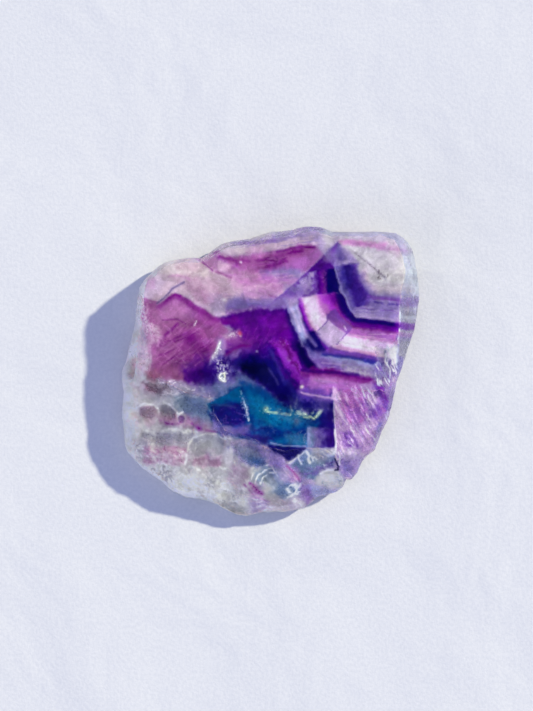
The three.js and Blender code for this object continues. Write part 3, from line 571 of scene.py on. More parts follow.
def paint_star(stone):
    """The bright folded bands right of the heart, and the cells above them."""
    stone.patch("violet", "21.6,41.6 17.8,37.8 11.2,31.6 5.2,26 -1,21.4 0,19.8 6,20.6 9.4,23.4 15,24.6 "
        "20.6,25.2 20.3,33.2", 0.3, 0.95)
    stone.ribbon(["slate violet", "violet", "slate violet", "lavender", "grey lilac"], "21.4,41.5 "
        "17,37.4 18.4,36", "22.6,40.4 25.8,37.8 28.6,34.9", 0.4, 0.95)
    stone.patch("royal violet", "19.4,37.4 22.4,38.4 23.6,35.2 21,33.4 18.8,35.8", 0.8, 0.4)
    stone.patch("deep purple", "14.6,34.9 17,37.3 18.6,35.8 20.3,33.2 20.2,32.2 11.8,31.8 13.2,33.6",
        0.35, 0.9, 0.3, 1.0)
    stone.patch("violet", "16.2,36.6 18.6,35.9 18.6,34.8 16.4,35.2", 0.5, 0.6)
    stone.ribbon(["violet", "deep purple", "purple", "magenta", "indigo", "ink"], "14.1,32.2 "
        "14.5,24.5", "19.2,32.6 19.4,25.1", 0.3, 0.95, 0.3, 0.8)
    stone.patch("indigo", "14.4,32.4 19,32.4 19,25.2 17.4,25.2 16.6,31", 0.5, 0.4)
    stone.patch("grey lilac", "14.8,38.6 19,39 21.6,37 20.6,34.8 17.4,35.4", 0.7, 0.42)
    stone.specks("orchid", "15.6,32 17.8,31.6 17.6,26.4 16.2,26.4", 0.7, 0.36, 0.4, 0.3, 40)
    stone.patch("navy", "18.2,32.7 20.3,32.9 21.8,27.6 22.1,25.2 18.1,25", 0.35, 0.97)
    stone.ribbon(["violet", "lavender", "grey lilac", "grey lilac", "lavender", "violet"], "5.4,26.2 "
        "11.6,31.8", "10,23.6 14.4,24.6 14.2,31.8", 0.4, 0.85, 0.9, 1.1)
    stone.patch("slate violet", "4.6,25.6 8.4,28 10.4,26.4 9.4,24 4.4,23.8", 0.6, 0.65, 0.5, 1.0)
    stone.patch("violet", "7,26 11,27 14.2,25.6 14.2,24.6 9.4,23.8 5,24", 0.8, 0.45, 0.3, 1.0)
    stone.patch("lavender", "-1,21.6 3,24 9.4,23.6 8.4,22.6 4.4,20.4 0,20.2", 0.5, 0.75)
    # the folded bands, each from its outer line to its inner one
    outer = trace("22.8,25.2 24.2,22 25.9,18.9 27.2,17.3 31,16.9 35,16.3 41.2,15.4")
    under_indigo = trace("20.2,25 20.9,22.4 21.8,20 23.8,17.2 27.2,14.9 33,14.1 41.2,13.1")
    under_orchid = trace("14.8,24.4 15.8,21 17.8,18.2 21.2,15.2 24.6,12 33,10.3 41.2,9.3")
    under_white = trace("10.2,23.3 11.4,18.8 13.2,14.8 15.4,11.6 20.6,7.6 30,5.9 37.4,4.4")
    under_violet = trace("8.4,23.2 8.9,19.6 10.2,15.2 11.6,11.6 16.4,5.4 28,3.9 36.6,2.2")
    under_blue = trace("4.5,22.6 5.4,19.4 7.2,15 9,11 10.3,8.4 13.4,3.8 20,1.6 34,-0.6")
    stone.ribbon(["cool lilac", "lavender", "cool lilac", "slate violet", "lavender"], under_violet,
        under_blue, 0.35, 0.95)
    stone.patch("cool lilac", "4.8,22.6 8.3,23 8.8,19.6 10.6,14 11.2,10.4 10.1,8.5 9.2,11 7.6,15 6,19",
        0.5, 0.7)
    stone.stroke("white lilac", "6.4,20.6 8,16.8 9.4,13", 1.0, 0.5, 0.5)
    stone.patch("grey lilac", "5,22.8 8.2,22.9 8.4,21 6,20.6", 0.6, 0.7)
    stone.ribbon(["orchid", "violet", "electric", "royal violet", "cool lilac"], under_white,
        under_violet, 0.35, 0.95)
    stone.ribbon(["blush", "electric", "purple", "violet"], under_white[:4], under_violet[:4], 0.35,
        0.85)
    stone.stroke("ultramarine", "10.8,15.6 12.4,12.6", 0.9, 0.5, 0.6)
    stone.ribbon(["blush", "white lilac", "white lilac", "pearl", "white lilac", "pale pink"],
        under_orchid, under_white, 0.35, 0.97)
    stone.ribbon(["purple", "magenta", "orchid", "orchid", "orchid", "blush"], under_indigo,
        under_orchid, 0.35, 0.97)
    stone.ribbon(["magenta", "electric", "orchid", "orchid"], under_indigo[:4], under_orchid[:4], 0.35,
        0.85)
    stone.ribbon(["orchid", "blush", "white lilac"], under_orchid[:3], "13.2,24.2 14.4,20.4 16,17",
        0.6, 0.8)
    stone.patch("violet", "30,13.4 41.2,12.6 41.2,10 34,10.8", 1.0, 0.3, 0.4, 1.4)
    stone.patch("electric", "15.6,24.7 20,25 20.8,22.6 19.6,21.2 16.8,22.2", 0.6, 0.7)
    stone.patch("purple", "18.6,24.9 20.6,25 21.3,22.8 20.2,21.6", 0.5, 0.8)
    stone.ribbon(["indigo", "navy", "indigo", "purple"], outer, under_indigo, 0.3, 0.97)
    stone.stroke("purple", "27,15.2 30,14.9 35,14.3 41,13.5", 1.2, 0.5, 0.8)
    # duller cells where the bands fold
    stone.patch("grey lilac", "15,12.8 18,16.4 20.6,14.2 24.2,11.8 21.2,8.6 18.6,8 16.4,10", 0.42, 0.75)
    stone.patch("white lilac", "16.6,11.6 18.4,15.2 21.4,12.9 22.9,11.2 20.4,8.9 18.2,9.2", 0.8, 0.35,
        0.3, 1.2)
    stone.patch("violet", "18.1,18.2 20.8,20 22.6,17.6 25.8,14.4 24.4,12 20.6,14.4 18,16.8", 0.4, 0.75)
    stone.patch("orchid", "19.6,16.4 22.6,15.6 25.2,13.6 24,12.6 21,14.4", 0.6, 0.6)
    stone.stroke("violet", "20.8,20.1 19.2,18.7 18.2,17 17.8,15.8 15.2,13", 0.26, 0.2, 0.7)
    stone.stroke("violet", "25.8,14 24.3,12.1 22.8,10.2 21.3,8.8", 0.22, 0.18, 0.7)
    stone.stroke("frost and glint", "23.4,14.4 24,13.2", 0.35, 0.25, 0.6)
    stone.patch("navy", "11.4,10.2 12.4,12.6 13.8,13 15.4,11.3 16.8,8.8 17.6,6.6 15.8,6 13.4,7 "
        "11.8,8.6", 0.6, 0.95)
    stone.patch("navy", "10.4,9.6 13,10.6 15.6,9.4 16.4,6.6 13,5.6 11,7.4", 0.7, 0.6)
    stone.patch("slate violet", "11.6,7.2 14,6.2 16.4,5.2 16.8,4 14,3.8 12.2,5.2", 0.7, 0.7, 0.3, 1.2)
    stone.patch("violet", "14,6.8 18,6.6 22,5.4 22,1 16,1.2 13.6,3.6", 0.9, 0.4, 0.4, 1.4)
    stone.patch("white lilac", "9.6,23.6 13.6,24 15,20.4 17,17.4 14.8,14 11.4,19", 0.7, 0.5, 0.3, 1.2)
    stone.patch("dusty violet", "4.4,23.8 9.2,24 9.4,21.4 5.6,20.6", 0.7, 0.55)
    stone.patch("white lilac", "10.2,23.8 14.6,24 17.2,18 15,14.4 11.6,19", 0.6, 0.6, 0.3, 1.6)
    stone.stroke("white lilac", "8.6,20.2 9.8,15.6 11.6,12 14.4,8.4", 1.1, 0.6, 0.4)


def paint_right(stone):
    """The blue and grey corner at the upper right, banded parallel to the rim."""
    stone.patch("lavender", "20.2,33.4 26,34.8 42,34 50,30 50,6 40,4 24,12 20.6,20 22,26", 0.5, 0.95)
    stone.patch("ash", "20.6,44.4 20,46.5 46,47 50,34 50,24 41,24.6 31,25 27.4,31 27.6,34.6 24.8,37.6 "
        "21.6,41.6", 0.5, 0.92)
    stone.patch("grey lilac", "20.6,42.2 20,46.4 43,46.6 45,41.4 33,41.8 24,42.8", 0.7, 0.65)
    stone.patch("pale ash", "25.4,39.8 32,39 40,38.4 46.4,37 46.8,32 42,29 35.6,30 31.6,33 28.6,37",
        0.9, 0.95)
    stone.patch("blush", "21.8,41.8 24,42.5 33,41.3 37,41 36,39 33,39.6 27,40 23.4,40.6", 0.45, 0.9)
    stone.patch("rose", "22.6,41.8 26,41.9 32,40.9 32,40.1 26,40.7", 0.4, 0.6)
    stone.patch("blush", "35,41 43,41 45.6,39 43,37.4 36,38.4", 0.8, 0.5, 0.4, 1.2)
    stone.stroke("rose", "35,39.2 39,39 43.4,38.9", 0.5, 0.4, 0.5)
    # grey window
    stone.patch("smoke", "27.8,34.5 30.6,34.6 31,30 32.6,26.4 31.6,24.8 29.4,26.8 27.2,31", 0.8, 0.5)
    stone.ribbon(["lavender", "grey lilac", "mist", "quartz grey"], "27.4,32 28.4,28.4 31.6,24.4",
        "31.4,34 32.4,29 35,25.4", 0.7, 0.8)
    stone.ribbon(["pearl", "quartz grey", "quartz grey", "mist", "lavender"], "31,33 38,33.4 46,32.4",
        "32.4,24.6 38,24.2 46,24", 0.8, 0.5)
    stone.stroke("smoke", "33,28.6 38,27.8 45,28", 0.4, 0.4, 0.35)
    # the pitted crack
    stone.stroke("smoke", "24.8,38.9 27.6,37.4 30,35.6 31.8,34.4 33.6,32.8 34.8,31.4 36.6,30.4", 0.9,
        0.4, 0.6)
    stone.stroke("umber", "25.2,38.6 27.8,37.2 30,35.5 31.8,34.2 33.5,32.8 34.7,31.4", 0.32, 0.2, 0.7,
        0.0, 0.6)
    stone.specks("umber", "31.4,34.6 33,34.4 36,31.6 37.8,31 37,29.6 34,29.4 32.6,32", 0.55, 0.28, 0.4,
        0.75, 52)
    # slate blue and indigo wedge
    light_edge = trace("20.2,33.6 21.4,30 22.4,27.2 25.8,19.8")
    grey_edge = trace("28.2,34.7 27.6,31.4 29.2,27.8 32.4,24.2 31,20.8")
    stone.ribbon(["slate violet", "slate violet", "royal violet", "indigo", "indigo", "royal violet",
        "violet", "lavender"], light_edge, grey_edge, 0.4, 0.95, 0.3, 1.4)
    stone.patch("indigo", "26.2,29.8 28,28.4 31.2,24.8 30,23.6 27,26", 0.9, 0.6)
    stone.patch("royal violet", "26.4,29 30.6,28 33.6,25.6 33.4,21.2 30.4,20.4 25.4,20.6 25.4,26", 1.0,
        0.45, 0.4, 1.4)
    stone.stroke("slate violet", "20.4,33 22.4,27.2 25.8,19.8", 0.8, 0.4, 0.8)
    stone.stroke("lavender", "20.9,32 22.6,27.2 25.6,20.4", 0.4, 0.3, 0.5)
    stone.stroke("slate violet", "20.3,33.3 23.4,34 28,34.6", 0.4, 0.3, 0.6)
    # thin purple bands
    stone.stroke("violet", "31.2,24.2 36,23.6 41.6,23.1 46.6,23.2", 0.9, 0.4, 0.7)
    stone.stroke("purple", "32.6,23.3 37,23 41,22.7", 0.4, 0.3, 0.35)
    stone.stroke("royal violet", "31,22.3 33,22.3 36.4,21.6 41.4,21.3", 0.8, 0.35, 0.75, 0.0, 0.6)
    stone.patch("slate violet", "26.2,20.4 31.6,20.9 41,20.4 41,19 33,19.2 27,18.8", 0.6, 0.45)
    stone.streaks("grey lilac", "27,20.8 41,20.6 41,16.6 30,17.2 26.6,18.4", -4, 5, 0.5, 0.4, 0.4, 0.6,
        54)
    stone.streaks("violet", "27,20.4 41,20.6 41,16.6 30,17.2 27,18.4", -4, 6, 0.4, 0.25, 0.4, 0.5, 55)
    stone.stroke("grey lilac", "26.8,17.9 30,17.3 32.4,17.5 35,17 38,16.7 41,16.2", 0.45, 0.3, 0.85)
    stone.patch("indigo", "15,31.6 21.6,31.6 30,31 30,28.6 26,28.2 15,28.4", 0.7, 0.32)
    stone.patch("ash", "34,1.4 38,1.6 37.6,-4 34.4,-4", 0.6, 0.55, 0.4, 0.9)
    stone.patch("ultramarine", "21.8,33.1 27,33.8 27.9,30.9 25.4,27.7 24.4,23.8 22.2,27.7", 0.7, 0.5,
        0.5, 0.9)
    stone.patch("indigo", "25.4,33.1 27.3,33.4 27.9,30.6 29.8,26.4 31.1,23.5 29.5,22.9 27,26.4 "
        "25.7,29.6", 0.6, 0.6, 0.5, 0.8)
    stone.stroke("cool lilac", "20.1,34.7 21.8,28.3 24.1,23.2 25.9,19.2", 0.35, 0.25, 0.5)


def paint_right_ends(stone):
    """The right ends of the folded bands, and the rim they run into."""
    stone.streaks("pale pink", "26,13 41,12 41,9.6 26,11.4", -4, 6, 0.45, 0.24, 0.4, 0.5, 58)
    stone.patch("grey lilac", "33,9.6 41,9 41,5 37,4.6 34.6,5.4", 1.4, 0.6)
    stone.stroke("blush", "21.6,7.9 26,6.9 30,6 34,5.2", 1.0, 0.6, 0.5)
    stone.stroke("grey lilac", "22,9.6 26,8.8 32,7.6", 0.3, 0.3, 0.3)
    # violet blue stripe and what lies under it
    stone.ribbon(["violet", "violet", "royal violet", "ultramarine", "cool lilac"], "17.8,7.2 22,6.8 "
        "28,5.7 36.6,4.2", "15.8,4.6 20,4.2 28,3.2 35.6,1.2", 0.4, 0.9)
    stone.patch("ultramarine", "29.6,4.2 36,3.6 35.6,1.4 31.6,2.6", 0.6, 0.65, 0.4, 0.9)
    stone.ribbon(["cool lilac", "lavender", "slate violet", "violet"], "13.8,4.8 20,4.2 28,3.2 "
        "34.6,1.6", "13.8,3.2 16,2 20,1.4 26,0.4 34.6,-1.2", 0.45, 0.85, 0.5, 1.0)
    stone.patch("violet", "13.8,4.4 18,4 18.6,1.8 14.4,2.6", 0.7, 0.55)
    stone.streaks("violet", "15.4,2.2 25,2.6 32,0.6 33,-1.2 18,0", -6, 4, 0.4, 0.32, 0.4, 0.7, 59)
    stone.stroke("pale pink", "16.4,2.9 20,2.6 24,1.9", 0.35, 0.3, 0.45)
    stone.patch("ash", "22,2 30,1.8 35,1 35.6,-2.2 30,-1.4 24,-0.2", 0.6, 0.75, 0.6, 0.8)
    stone.patch("ash", "34,6.4 37,6.6 37.6,2.6 34.6,2.4", 0.7, 0.5, 0.4, 0.8)
    # right rim
    stone.patch("smoke", "41.5,24.4 48.8,24.4 48.8,12 45,4 41,4.8 41.2,14", 0.35, 0.95)
    stone.patch("grey lilac", "41.4,24.4 48.8,24.4 48.8,19.4 41.4,19.4", 0.8, 0.5, 0.4, 1.0)
    stone.stroke("violet", "41.4,22.9 48,23", 1.0, 0.6, 0.35)
    stone.stroke("violet", "41.2,14.4 44,14.2 47.4,14.6", 1.8, 0.6, 0.6, 0.0, 0.6)
    stone.stroke("lavender", "41.4,10.6 46,10.8", 1.6, 0.9, 0.6)
    stone.stroke("frost and glint", "41.3,21 41.6,17.4 41.2,13 40.8,9.2", 0.5, 0.22, 0.9, 0.0, 0.6)
    # painted highlights on the sunlit right rim
    stone.streaks("pearl", "44.6,30 48.6,30 48.6,20 46,20", 82, 3, 0.6, 0.4, 0.6, 0.7, 62)
    stone.specks("umber", "42,43 44.4,42.6 46.6,38 45,37.4 43,40", 0.6, 0.24, 0.5, 0.55, 63)
    stone.specks("smoke", "42,39 46.8,38 48.4,28 45,28", 0.9, 0.3, 0.6, 0.4, 64)
    stone.stroke("purple", "40.6,15 43.6,14.4 47,14", 2.0, 0.6, 0.6)
    stone.stroke("orchid", "40.8,12 43.4,11.6 46.6,11.4", 1.6, 0.6, 0.45)
    stone.stroke("violet", "40.8,22 44,21.6 47.6,21.8", 1.6, 0.7, 0.4)
    stone.stroke("pale ash", "41.4,17.8 44,17.4 47,17.4", 0.8, 0.6, 0.35)
    stone.patch("grey lilac", "25,40 33,41 45.6,40 46.6,33 38,31.6 31,33", 1.4, 0.4, 0.3, 1.6)


def paint_skin(stone):
    """The rough skin at the lower left: dishes, domes, frosted ridges."""
    stone.patch("ash", "-50,-1 -38,0 -30,-7 -20,-9 -12,-21 -4,-25 0,-30 6,-46 0,-50 -50,-50", 1.0, 0.95)
    stone.patch("pale ash", "-49,1 -43,0 -43.6,-6 -43.4,-10 -43.8,-24 -49,-22", 0.9, 0.7, 0.3, 1.6)
    stone.stroke("smoke", "-46.4,-3.6 -43.6,-5 -41,-6 -37,-6.6", 1.0, 0.7, 0.55, 0.2, 0.5)
    stone.patch("blush", "-47.6,-14.6 -43.6,-14.6 -42.4,-16.4 -44,-17.6 -47.4,-17", 0.9, 0.45, 0.5, 1.0)
    # brown and rose at the foot of the mulberry block
    stone.patch("old rose", "-38.6,1.4 -32,1.6 -27,0.6 -28,-2.4 -32,-3 -38.8,-2.6", 0.8, 0.85, 0.3, 1.2)
    stone.patch("brick", "-39.8,-0.2 -36.8,0.2 -35.4,-1.6 -36.6,-3.6 -39.2,-2.6", 0.8, 0.9, 0.3, 0.9)
    stone.patch("mist", "-41,-3.6 -34,-4 -31,-5.6 -34,-8.4 -41,-8", 0.9, 0.7, 0.4, 1.2)
    stone.patch("brick", "-40.8,-4.2 -37.4,-5 -33.2,-4.4 -32.6,-6.4 -36,-7.4 -40.4,-6", 0.8, 0.85, 0.5,
        0.9)
    stone.specks("umber", "-39.4,-1.4 -33,-4 -33,-7 -40,-6", 0.7, 0.24, 0.6, 0.5, 71)
    stone.patch("deep purple", "-28.6,1 -19,1.6 -16.6,-2.8 -19,-4.8 -24,-4.6 -27.4,-3.2", 0.9, 0.92,
        0.2, 1.2)
    stone.patch("ink", "-25.6,-0.4 -19.4,1.2 -17.6,-3 -20,-4.6 -24,-4", 1.1, 0.4, 0.4, 1.0)
    # frosted ledge
    stone.ribbon(["smoke", "pewter", "smoke", "pewter", "pewter"], "-37,-3 -30,-4.2 -24,-5.4 "
        "-18.6,-5.6", "-37,-9.4 -30,-8.4 -25,-7.8 -18,-9.4", 0.9, 0.8, 0.8, 1.2)
    stone.patch("slate violet", "-25.4,-4.4 -18.6,-4.8 -18.4,-8.2 -24.4,-7.2", 0.8, 0.55, 0.5, 0.9)
    # painted shade at the right end of the ledge
    stone.patch("slate violet", "-21,-4.4 -18.4,-4.2 -16.6,-5.6 -17.6,-7.8 -20.2,-7.2", 0.7, 0.85, 0.3,
        0.8)
    stone.veins("pearl", "-37,-2.2 -31,-2.4 -28.6,-4.4 -35.6,-4.8", -10, 1.8, 1.0, 0.2, 0.6, 0.95, 72)
    stone.veins("pearl", "-34,-4.6 -22,-5.4 -17.4,-8 -18,-10 -24,-8.2 -34,-7.4", -10, 2.4, 1.2, 0.16,
        0.6, 0.85, 78)
    stone.stroke("pearl", "-20,-8.9 -17,-8.4 -13.6,-6.2", 0.45, 0.35, 0.65)
    # blue grey patch
    stone.patch("steel", "-31,-8.2 -27,-7.4 -23.6,-8.2 -19.4,-9.6 -17.8,-13 -16.4,-16.6 -20,-15.6 "
        "-24,-15 -28,-13.8 -30.4,-11.2", 0.9, 0.85, 0.3, 1.6)
    stone.patch("moss", "-30.6,-8.6 -26.4,-8.2 -26,-12.4 -28.4,-13.4 -30.4,-11.2", 0.9, 0.35, 0.4, 1.2)
    stone.patch("slate", "-26,-9.4 -21.4,-9.8 -18.8,-13 -21,-14.4 -25,-12.6", 0.9, 0.6, 0.5, 1.2)
    stone.patch("slate", "-29.4,-8.4 -25,-8.2 -24,-12 -26,-15.4 -29,-13", 0.9, 0.4)
    stone.patch("slate violet", "-27.6,-13 -22.4,-14.6 -18,-16.4 -18.4,-18.2 -24,-17 -27.4,-15.6", 0.8,
        0.7, 0.5, 1.0)
    stone.stroke("frost and glint", "-30.6,-9 -27,-7.6 -23.6,-8.2", 0.4, 0.3, 0.4, 0.0, 0.5)
    # dishes
    stone.patch("pearl", "-44.4,-12.4 -42,-10.2 -37.4,-9.8 -34.6,-12 -35,-16.6 -38,-18.8 -41.6,-18 "
        "-42.8,-15", 0.7, 0.6, 0.3, 0.9)
    stone.patch("mauve", "-42,-12.6 -41.2,-11.5 -39.4,-10.9 -37.6,-11.2 -36.5,-12.4 -36.5,-13.9 "
        "-37.4,-15 -39,-15.3 -40.9,-15.1 -41.9,-14.2", 0.4, 0.9, 0.2, 1.0)
    stone.patch("smoke", "-42,-12.6 -41.2,-11.5 -39.4,-10.9 -37.6,-11.2 -36.5,-12.4 -36.5,-13.9 "
        "-37.4,-15 -40.9,-15.1", 0.44, 0.6)
    stone.patch("mist", "-40.8,-15.2 -37.2,-15.2 -37,-16.6 -38.8,-17.9 -40.2,-17.2", 0.42, 0.8)
    stone.stroke("frost and glint", "-43.4,-11.8 -42,-11 -40.4,-10.4 -37.6,-10.6 -36,-12 -35.7,-13.6 "
        "-36.4,-15.2", 0.5, 0.3, 0.9, 0.2)
    stone.patch("pewter", "-35.2,-11 -33.4,-10.6 -31.4,-11.6 -29.9,-13.6 -30.4,-15 -32.4,-15.4 "
        "-34.9,-14.4 -35.5,-12.8", 0.6, 0.9, 0.3, 0.8)
    stone.patch("mauve", "-35.8,-13.6 -31,-14.2 -27,-14.4 -22.6,-16.2 -24,-17.6 -31,-16.8 -35.6,-16.4",
        0.8, 0.7, 0.5, 0.9)
    stone.stroke("frost and glint", "-34.4,-9.7 -32.4,-10.7 -30.8,-12.2 -29.6,-13.8 -28.2,-13.2", 0.45, 0.3,
        0.85, 0.2)
    stone.patch("violet", "-29.4,-14.4 -28.4,-14 -27.7,-15.2 -28.2,-16.6 -29.4,-16.2", 0.4, 0.6)
    stone.stroke("pearl", "-29.9,-14.6 -28.6,-13.6 -27.4,-14.8 -27.5,-16.4 -28.8,-17", 0.35, 0.28, 0.65)
    # magenta hair line across the skin
    stone.patch("mulberry", "-36.4,-14.8 -31,-15.2 -25,-15.4 -19,-18.2 -13.6,-19.6 -14,-20.6 -22,-19.2 "
        "-26,-18 -34,-17.2", 0.8, 0.45, 0.6, 0.9)
    stone.stroke("magenta", "-35.4,-15.8 -33.4,-16.6 -31.4,-16.9 -29.6,-16.6", 0.7, 0.4, 0.7, 0.0, 0.6)
    stone.stroke("magenta", "-25.4,-16.8 -22.6,-18.2 -20.4,-18.9 -17,-19.3", 0.5, 0.4, 0.6, 0.0, 0.6)
    stone.glow("dark magenta", (-22.8, -18.1), 0.8, 0.85, 1.2, -40)
    stone.glow("magenta", (-33.4, -16.6), 0.6, 0.6, 1.4)
    # grey zone, pink zone and whites at the far left
    stone.ribbon(["pale ash", "pewter", "pewter", "smoke", "pewter"], "-42,-18.4 -36,-18.2 -31,-18.6 "
        "-24,-19.2", "-42,-24 -36,-24 -31,-24 -26.4,-24.4", 0.6, 0.9)
    stone.ribbon(["mauve", "mauve", "mist", "mauve", "mist", "ash"], "-41,-24.4 -36,-24.2 -31,-24.2 "
        "-27,-24.6", "-41,-30.6 -36,-31.2 -31,-31.2 -27,-31", 0.6, 0.85, 0.5, 1.2)
    stone.patch("pale ash", "-36,-27 -30,-27.4 -29.6,-28.8 -35,-28.8", 0.8, 0.5, 0.8, 0.8)
    stone.veins("pale ash", "-39,-24 -28,-24 -27,-31 -38,-30", -25, 3, 1.6, 0.12, 0.5, 0.6, 73)
    stone.stroke("pale ash", "-37.4,-19.4 -37.8,-22 -38,-26 -36.8,-29.6", 0.9, 0.6, 0.6, 0.2, 0.5)
    stone.patch("pale ash", "-47,-18 -43,-18 -41.4,-22 -42.6,-27.6 -46,-25", 0.9, 0.7, 0.4, 1.4)
    stone.veins("frost and glint", "-47,-8 -43,-9 -41,-18 -40,-26 -44,-25", 80, 3, 1.6, 0.12, 0.6, 0.7, 74)
    # dome
    stone.patch("pewter", "-26.4,-24.6 -24.8,-21.6 -21,-20.4 -17,-20.6 -14.6,-22.6 -15.2,-26 -20,-26.4 "
        "-25.6,-26.4", 0.7, 0.75, 0.3, 1.4)
    stone.patch("ash", "-23.6,-24.4 -22,-22.2 -18,-22 -16.4,-24 -19,-25.6", 0.8, 0.55)
    stone.ribbon(["smoke", "mist", "mauve", "mauve", "mist", "ash"], "-25.6,-26 -20,-25.6 -15.4,-26",
        "-26,-31.4 -20,-32 -15,-31.6", 0.9, 0.7, 0.7, 1.2)
    stone.patch("quartz grey", "-14.8,-23 -13.2,-25 -11.8,-28.4 -11.2,-31.6 -15,-31.6 -15.4,-27", 0.7,
        0.7)
    stone.stroke("pale ash", "-26.8,-25.4 -26.4,-23.2 -24.8,-21.2 -21,-20 -17,-20 -14.6,-21.8 -13,-25 "
        "-11.2,-30.8", 0.4, 0.35, 0.75, 0.1)
    stone.stroke("pale ash", "-24.4,-25.6 -23.8,-23.2 -22,-21.8", 0.3, 0.3, 0.4)
    stone.stroke("frost and glint", "-28.2,-25.6 -27.2,-26.8 -27,-28.4 -27.6,-30.8", 0.6, 0.4, 0.85, 0.2, 0.5)
    stone.stroke("frost and glint", "-26.2,-30.6 -24.6,-31 -22.8,-31.6", 0.7, 0.4, 0.75, 0.2, 0.5)
    stone.stroke("frost and glint", "-16.4,-30.6 -15.4,-31.2 -14.4,-31.2", 0.6, 0.4, 0.7, 0.2, 0.5)
    # grey white foot
    stone.patch("chalk", "-42,-30.2 -32,-32.4 -24,-33.6 -14,-34.6 -9,-36 -6,-41 -10,-43 -22,-42 -32,-40 "
        "-40,-35", 1.0, 0.8, 0.3, 2.0)
    stone.stroke("frost and glint", "-40.6,-31 -37,-33.4 -33.6,-36 -30,-38.6 -26,-39.8 -21,-40.4", 1.3, 0.4, 0.9,
        0.0, 0.4)
    stone.veins("frost and glint", "-38,-31 -20,-32 -8,-36 -6,-44 -22,-41", -40, 5, 2.4, 0.12, 0.6, 1.0, 76)
    stone.veins("frost and glint", "-24,-34 -14,-33 -9,-38 -12,-41 -22,-40", 20, 2.6, 1.6, 0.14, 0.6, 1.0, 70)
    stone.patch("quartz grey", "-38,-31 -20,-32 -8,-36 -6,-44 -22,-41", 0.7, 0.6, 1.0, 2.2)
    stone.veins("pewter", "-38,-31 -20,-32 -8,-36 -6,-44 -22,-41", -60, 4, 2.0, 0.10, 0.7, 0.6, 77)
    stone.stroke("frost and glint", "-22.4,-35 -20.8,-37 -20,-39.6 -17.6,-40 -15.4,-38.4 -12.8,-38.6", 0.9, 0.3,
        0.95, 0.0, 0.4)
    stone.patch("frost and glint", "-16.4,-37 -12.8,-37 -11.4,-39 -15.4,-39.4", 0.7, 0.9, 0.5, 0.8)
    stone.patch("moss", "-18,-42.2 -15,-42.6 -8,-44.4 -7,-46.8 -12,-46", 0.8, 0.45, 0.6, 1.0)
    stone.stroke("moss", "-17.6,-42.8 -15.6,-43.8 -14,-44.4 -12,-45.2", 0.9, 0.5, 0.8, 0.2, 0.6)
    stone.patch("mist", "-6,-40 0,-41.6 6,-42 4,-46 -4,-46", 1.2, 0.6)
    # crescent of blue glass under the edge
    stone.patch("grey lilac", "-14.4,-22.4 -10,-20.8 -4,-21.6 0.4,-24 0.6,-27 -0.4,-30 -4.8,-31.2 "
        "-9.2,-29.6 -12.2,-26.4", 0.7, 0.9)
    stone.patch("slate violet", "-13.2,-23.8 -9,-23 -4,-24.4 0,-27 -3,-29.4 -9.6,-28.2", 0.9, 0.55)
    stone.patch("steel", "-12.6,-24 -9,-23.8 -5,-25 -5,-28.6 -9.6,-27.6", 0.9, 0.6)
    stone.patch("slate", "-9.6,-26.8 -5.4,-26 -1.4,-27.4 -2.2,-30 -6.6,-30.4", 0.9, 0.85)
    stone.glow("deep teal", (-4.8, -28.6), 1.5, 0.5, 1.8, -20)
    stone.specks("frost and glint", "-15.4,-20.6 -12.6,-20.8 -12,-22.4 -14.6,-22.4", 0.4, 0.4, 0.4, 0.8, 80)
    stone.stroke("frost and glint", "-13,-21.7 -10.4,-21.4 -7.6,-22 -5.2,-22.6", 0.45, 0.3, 0.75, 0.3, 0.6)
    stone.stroke("pale ash", "-13.6,-22.8 -12.2,-26.2 -9.4,-29.4 -5.2,-31.4", 0.6, 0.45, 0.55, 0.0, 0.5)
    stone.patch("mauve", "-12,-30 -7,-31 -6.6,-36 -10,-37 -14,-34", 1.0, 0.5, 0.4, 1.2)
    stone.veins("pale ash", "-14,-30 -7,-31 -6,-37 -12,-38", -50, 3, 1.2, 0.16, 0.5, 0.6, 79)
    # shell-shaped break
    stone.patch("steel", "-6.2,-35.6 -5.2,-32.2 -1.6,-29.8 3.2,-30 3.6,-34.6 0.4,-37.4 -3.4,-37.6",
        0.7, 0.75, 0.4, 1.0)
    stone.stroke("frost and glint", "-6.6,-35.6 -5.6,-32.8 -3.2,-30.6 -0.6,-29.8 1.6,-30.2", 0.4, 0.3, 0.85, 0.2,
        0.6)
    stone.stroke("frost and glint", "-5,-35.8 -4,-33.4 -2,-31.6 0.6,-31", 0.4, 0.25, 0.85, 0.2, 0.3)
    stone.stroke("frost and glint", "-3.4,-36 -2.4,-34 -0.4,-32.6 1.8,-32.6", 0.4, 0.25, 0.85, 0.2, 0.3)
    stone.stroke("frost and glint", "0.2,-29.9 1,-31.8 2.4,-33.8", 0.3, 0.28, 0.6, 0.2)
